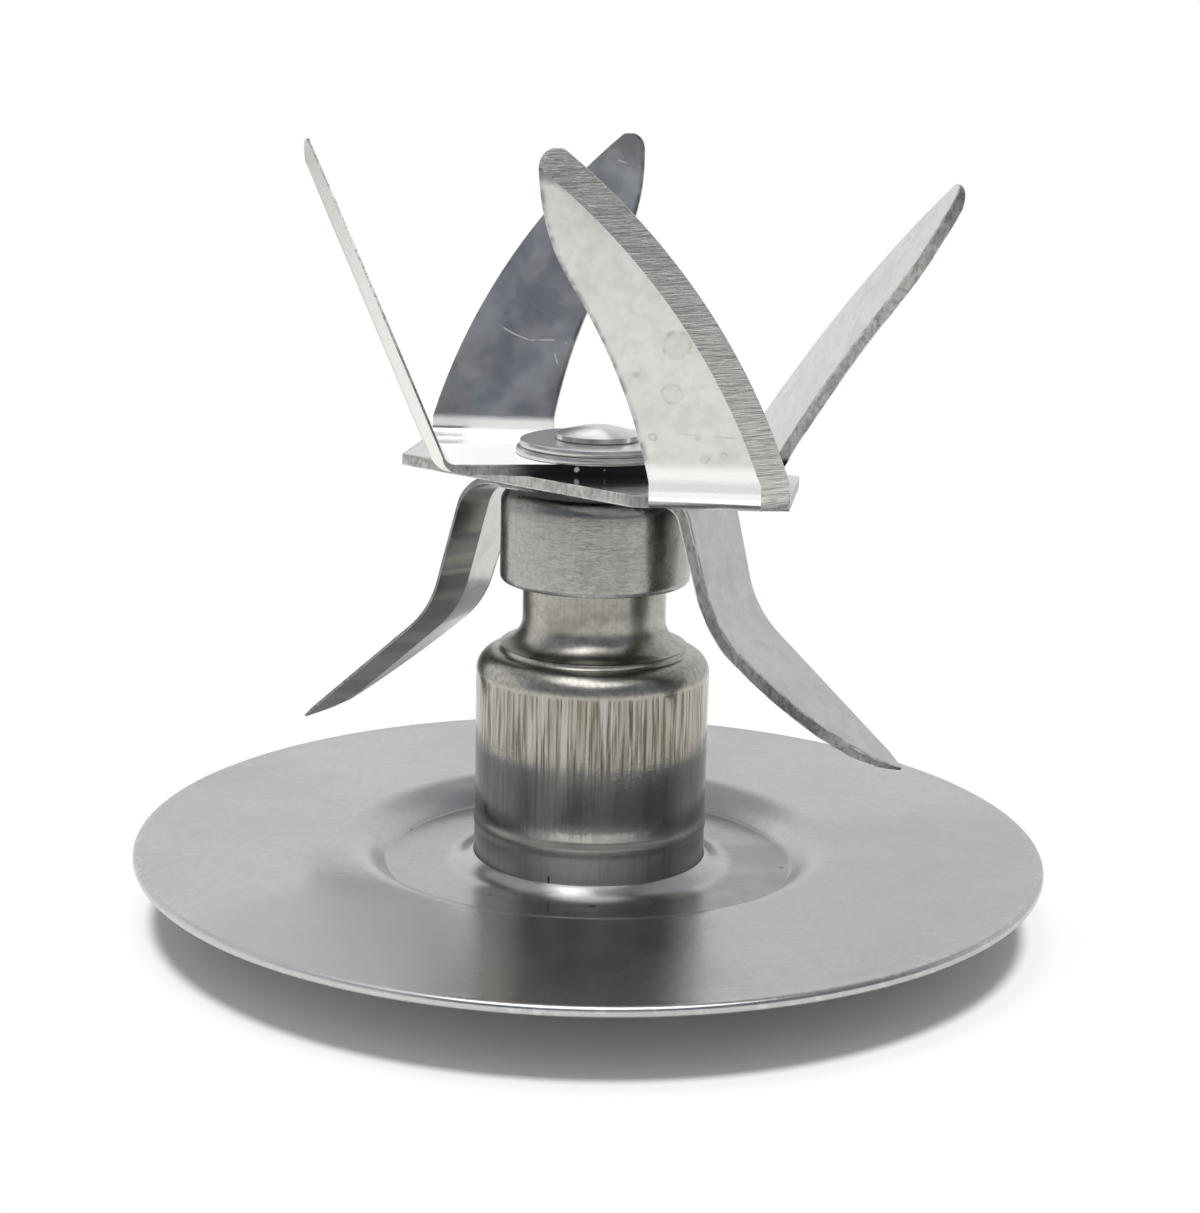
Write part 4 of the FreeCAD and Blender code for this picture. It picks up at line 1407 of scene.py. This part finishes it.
class BLADES_OT_rivet_and_washers(bpy.types.Operator):
    """Adds the shaft with its riveted head, and the two washers under it"""

    bl_idname = "blade_assembly.rivet_and_washers"
    bl_label = "Rivet and washers"

    def washer(self, name, node_name, r, steps):
        """A flat washer with its outer corners broken."""
        low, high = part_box(node_name)
        base, top = low.z, high.z
        bore = 2.63 * MM
        section = [(bore, base), (r - 0.18 * MM, base), (r - 0.05 * MM, base + 0.05 * MM)]
        section += [(r, base + 0.18 * MM), (r, top - 0.2 * MM), (r - 0.07 * MM, top - 0.06 * MM)]
        section += [(r - 0.25 * MM, top), (bore, top)]
        washer = lathe(name, section, steps)
        finish_edges(washer, 0.0, 34.0)
        give(washer, steel("washer"))
        place(washer, "rotor", "washer_steel", node_name)

    def shaft(self, steps):
        """The shaft with its groove, its stem and the domed head."""
        low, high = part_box("shaft")
        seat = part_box("upper_top_washer")[1].z
        r, groove, top, stem = 3.15 * MM, 2.7 * MM, 35.2 * MM, 2.6 * MM
        section = [(0.0, low.z), (r - 0.2 * MM, low.z), (r, low.z + 0.2 * MM)]
        section += [(r, 3.0 * MM), (groove, 3.0 * MM), (groove, 3.6 * MM), (r, 3.6 * MM)]
        section += [(r, top), (stem, top), (stem, seat), (3.35 * MM, seat), (3.5 * MM, seat + 0.12 * MM)]
        rise = high.z - seat
        for i in range(9):
            share = i / 8
            dome = 0.42 + 0.58 * math.sin(share * math.pi / 2)
            section.append(((3.42 - 3.42 * share) * MM, seat + rise * dome))
        shaft = lathe("Shaft", section, steps, closed=False)
        finish_edges(shaft, 0.0, 34.0)
        give(shaft, steel("shaft"))
        place(shaft, "rotor", "shaft_steel", "shaft")

    def execute(self, context):
        steps = context.scene.hub_settings.steps
        self.washer("Lower_top_washer", "lower_top_washer", 6.7 * MM, steps)
        self.washer("Upper_top_washer", "upper_top_washer", 6.4 * MM, steps)
        self.shaft(steps)
        return {"FINISHED"}


def cylinder(name, vertices, radius, depth, centre):
    """Adds an upright cylinder."""
    start()
    bpy.ops.mesh.primitive_cylinder_add(vertices=vertices, radius=radius, depth=depth, location=centre)
    return made(name)


class BLADES_OT_drive_coupling(bpy.types.Operator):
    """Adds the notched coupling with its square socket"""

    bl_idname = "blade_assembly.drive_coupling"
    bl_label = "Drive coupling"

    def execute(self, context):
        low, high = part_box("drive_coupling")
        radius, notches, middle = 8.2 * MM, 6, (low.z + high.z) / 2
        coupling = cylinder("Drive_coupling", 96, radius, high.z - low.z, (0, 0, middle))
        cutters = []
        for i in range(notches):
            angle = math.tau * i / notches
            centre = (radius * math.cos(angle), radius * math.sin(angle), middle)
            cutters.append(cylinder("Notch_cutter", 32, 1.5 * MM, 6 * MM, centre))
        start()
        socket = (4.6 * MM, 4.6 * MM, 2.4 * MM)
        bpy.ops.mesh.primitive_cube_add(size=1.0, location=(0, 0, low.z), scale=socket)
        cutters.append(made("Socket_cutter"))
        cutters.append(cylinder("Seat_cutter", 48, 3.17 * MM, 1.6 * MM, (0, 0, high.z)))
        for cutter in cutters:
            start()
            bpy.context.view_layer.objects.active = coupling
            coupling.select_set(True)
            cut = coupling.modifiers.new("Cut", "BOOLEAN")
            cut.operation = "DIFFERENCE"
            cut.solver = "EXACT"
            cut.object = cutter
            bpy.ops.object.modifier_apply(modifier=cut.name)
            bpy.data.objects.remove(cutter)
        finish_edges(coupling, 0.15 * MM, 34.0, 3)
        give(coupling, steel("coupling"))
        place(coupling, "rotor", "coupling_steel", "drive_coupling")
        return {"FINISHED"}


# Stage


class BLADES_OT_stage(bpy.types.Operator):
    """Adds the floor, the light and the camera"""

    bl_idname = "blade_assembly.stage"
    bl_label = "Stage"

    def floor(self):
        """White ground: burnt out for the camera outside the plate's shadow, darker in front in mirrors."""
        start()
        under = (0, 0, -0.02 * MM)
        bpy.ops.mesh.primitive_circle_add(vertices=128, radius=3.0, fill_type="NGON", location=under)
        floor = made("Floor")
        material = bpy.data.materials.new("White floor")
        material.use_nodes = True
        tree = material.node_tree
        tree.nodes.clear()
        out = tree.nodes.new("ShaderNodeOutputMaterial")
        path = tree.nodes.new("ShaderNodeLightPath")
        spread = tree.nodes.new("ShaderNodeTexCoord").outputs["Object"]
        front = smooth_step(tree, axis(tree, spread, "Y"), -0.12, -0.24)
        faded = mixed(tree, front, (0.85, 0.85, 0.83, 1.0), rgba(grey(0.51)))
        paper = mixed(tree, path.outputs["Is Glossy Ray"], rgba(grey(0.93)), faded)
        matt = node(tree, "ShaderNodeBsdfDiffuse", {"Color": paper})
        plain = node(tree, "ShaderNodeEmission", {"Color": rgba(grey(1.0)), "Strength": 1.0})
        away = vector_node(tree, "LENGTH", spread, output="Value")
        blown = times(tree, smooth_step(tree, away, 0.0358, 0.0374), 0.86)
        soft_rest = times(tree, smooth_step(tree, away, 0.037, 0.055), 0.14)
        share = times(tree, math_node(tree, "ADD", blown, soft_rest), path.outputs["Is Camera Ray"])
        mix = node(tree, "ShaderNodeMixShader", {0: share, 1: matt.outputs[0], 2: plain.outputs[0]})
        tree.links.new(mix.outputs[0], out.inputs["Surface"])
        give(floor, material)

    def sky(self, level):
        """Even light all round; metal mirrors a room with a bright ceiling and a dark front instead."""
        world = bpy.data.worlds.new("Studio")
        bpy.context.scene.world = world
        world.use_nodes = True
        tree = world.node_tree
        tree.nodes.clear()
        out = tree.nodes.new("ShaderNodeOutputWorld")
        direction = tree.nodes.new("ShaderNodeTexCoord").outputs["Generated"]
        height = axis(tree, direction, "Z")
        towards = vector_node(tree, "DOT_PRODUCT", direction, (0.0, -0.28, 0.96), "Value")
        overhead = smooth_step(tree, towards, 0.87, 0.93)
        front = vector_node(tree, "DOT_PRODUCT", direction, (0.15, -0.95, 0.27), "Value")
        dark = smooth_step(tree, front, -0.2, 0.5)
        shapes = smooth_step(tree, noise(tree, direction, 2.6, 2.0), 0.35, 0.65)
        corner = mixed(tree, shapes, (0.12, 0.135, 0.17, 1.0), (0.3, 0.315, 0.345, 1.0))
        corner = mixed(tree, smooth_step(tree, height, 0.14, 0.02), corner, rgba(grey(0.45)))
        side = smooth_step(tree, axis(tree, direction, "X"), -0.8, 0.8)
        walls = mixed(tree, side, rgba(grey(0.92)), rgba(grey(0.78)))
        walls = mixed(tree, smooth_step(tree, height, 0.45, 0.7), walls, (0.45, 0.45, 0.46, 1.0))
        room = mixed(tree, overhead, mixed(tree, dark, walls, corner), rgba(grey(2.8)))
        path = tree.nodes.new("ShaderNodeLightPath")
        seen = mixed(tree, path.outputs["Is Glossy Ray"], rgba(grey(level)), room)
        shown = mixed(tree, path.outputs["Is Camera Ray"], seen, rgba(grey(1.0)))
        light = node(tree, "ShaderNodeBackground", {"Color": shown, "Strength": 1.0})
        tree.links.new(light.outputs[0], out.inputs["Surface"])

    def lamp(self, name, place, size, power):
        """A round lamp that points at the hub and shows in no metal."""
        bpy.ops.object.light_add(type="AREA", location=place)
        lamp = bpy.context.object
        lamp.name = name
        lamp.data.shape = "DISK"
        lamp.data.size = size
        lamp.data.energy = power
        lamp.visible_glossy = False
        hub = Vector((0, 0, 0.02))
        lamp.rotation_euler = (hub - Vector(place)).to_track_quat("-Z", "Y").to_euler()

    def camera(self, s):
        """The photo's camera, from its settings."""
        bpy.ops.object.camera_add(location=(0, -s.camera_distance, s.camera_height))
        camera = bpy.context.object
        camera.name = "Camera"
        camera.data.sensor_width = 36.0
        camera.data.lens = s.focal_length
        camera.data.clip_start = 0.01
        camera.data.clip_end = 20.0
        swing = Matrix.Rotation(math.radians(-0.14), 3, "Z")
        tilt = Matrix.Rotation(math.radians(90) - s.camera_tilt, 3, "X")
        roll = Matrix.Rotation(s.camera_roll, 3, "Z")
        camera.rotation_euler = (swing @ tilt @ roll).to_euler()
        bpy.context.scene.camera = camera

    def execute(self, context):
        s = context.scene.stage_settings
        start()
        self.floor()
        self.sky(s.sky)
        self.lamp("Overhead_lamp", place=(-0.05, 0.0, 0.52), size=0.16, power=s.lamp)
        self.camera(s)
        context.scene.view_settings.view_transform = "Standard"
        return {"FINISHED"}


class BLADES_PT_panel(bpy.types.Panel):
    """Lists the pieces of the blade assembly"""

    bl_idname = "BLADES_PT_panel"
    bl_label = "Blade Assembly"
    bl_space_type = "VIEW_3D"
    bl_region_type = "UI"
    bl_category = "Blade Assembly"

    def draw(self, context):
        for settings in ("plate_settings", "hub_settings", "blade_settings", "stage_settings"):
            group = getattr(context.scene, settings)
            box = self.layout.box()
            for name in group.__annotations__:
                box.prop(group, name)
        for operator in OPERATORS:
            self.layout.operator(operator.bl_idname)


SETTINGS = (BladeSettings, PlateSettings, HubSettings, StageSettings)
OPERATORS = (
    BLADES_OT_materials,
    BLADES_OT_base_plate,
    BLADES_OT_bearing_housing,
    BLADES_OT_slinger_cap,
    BLADES_OT_lower_blade,
    BLADES_OT_middle_blade,
    BLADES_OT_upper_blade,
    BLADES_OT_rivet_and_washers,
    BLADES_OT_drive_coupling,
    BLADES_OT_stage,
)


def register():
    for item in SETTINGS + OPERATORS + (BLADES_PT_panel,):
        bpy.utils.register_class(item)
    bpy.types.Scene.blade_settings = PointerProperty(type=BladeSettings)
    bpy.types.Scene.plate_settings = PointerProperty(type=PlateSettings)
    bpy.types.Scene.hub_settings = PointerProperty(type=HubSettings)
    bpy.types.Scene.stage_settings = PointerProperty(type=StageSettings)


def unregister():
    del bpy.types.Scene.stage_settings
    del bpy.types.Scene.hub_settings
    del bpy.types.Scene.plate_settings
    del bpy.types.Scene.blade_settings
    for item in reversed(SETTINGS + OPERATORS + (BLADES_PT_panel,)):
        bpy.utils.unregister_class(item)


def main():
    """Registers the add-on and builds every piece."""
    register()
    for operator in OPERATORS:
        group, name = operator.bl_idname.split(".")
        getattr(getattr(bpy.ops, group), name)()


if __name__ == "__main__":
    main()
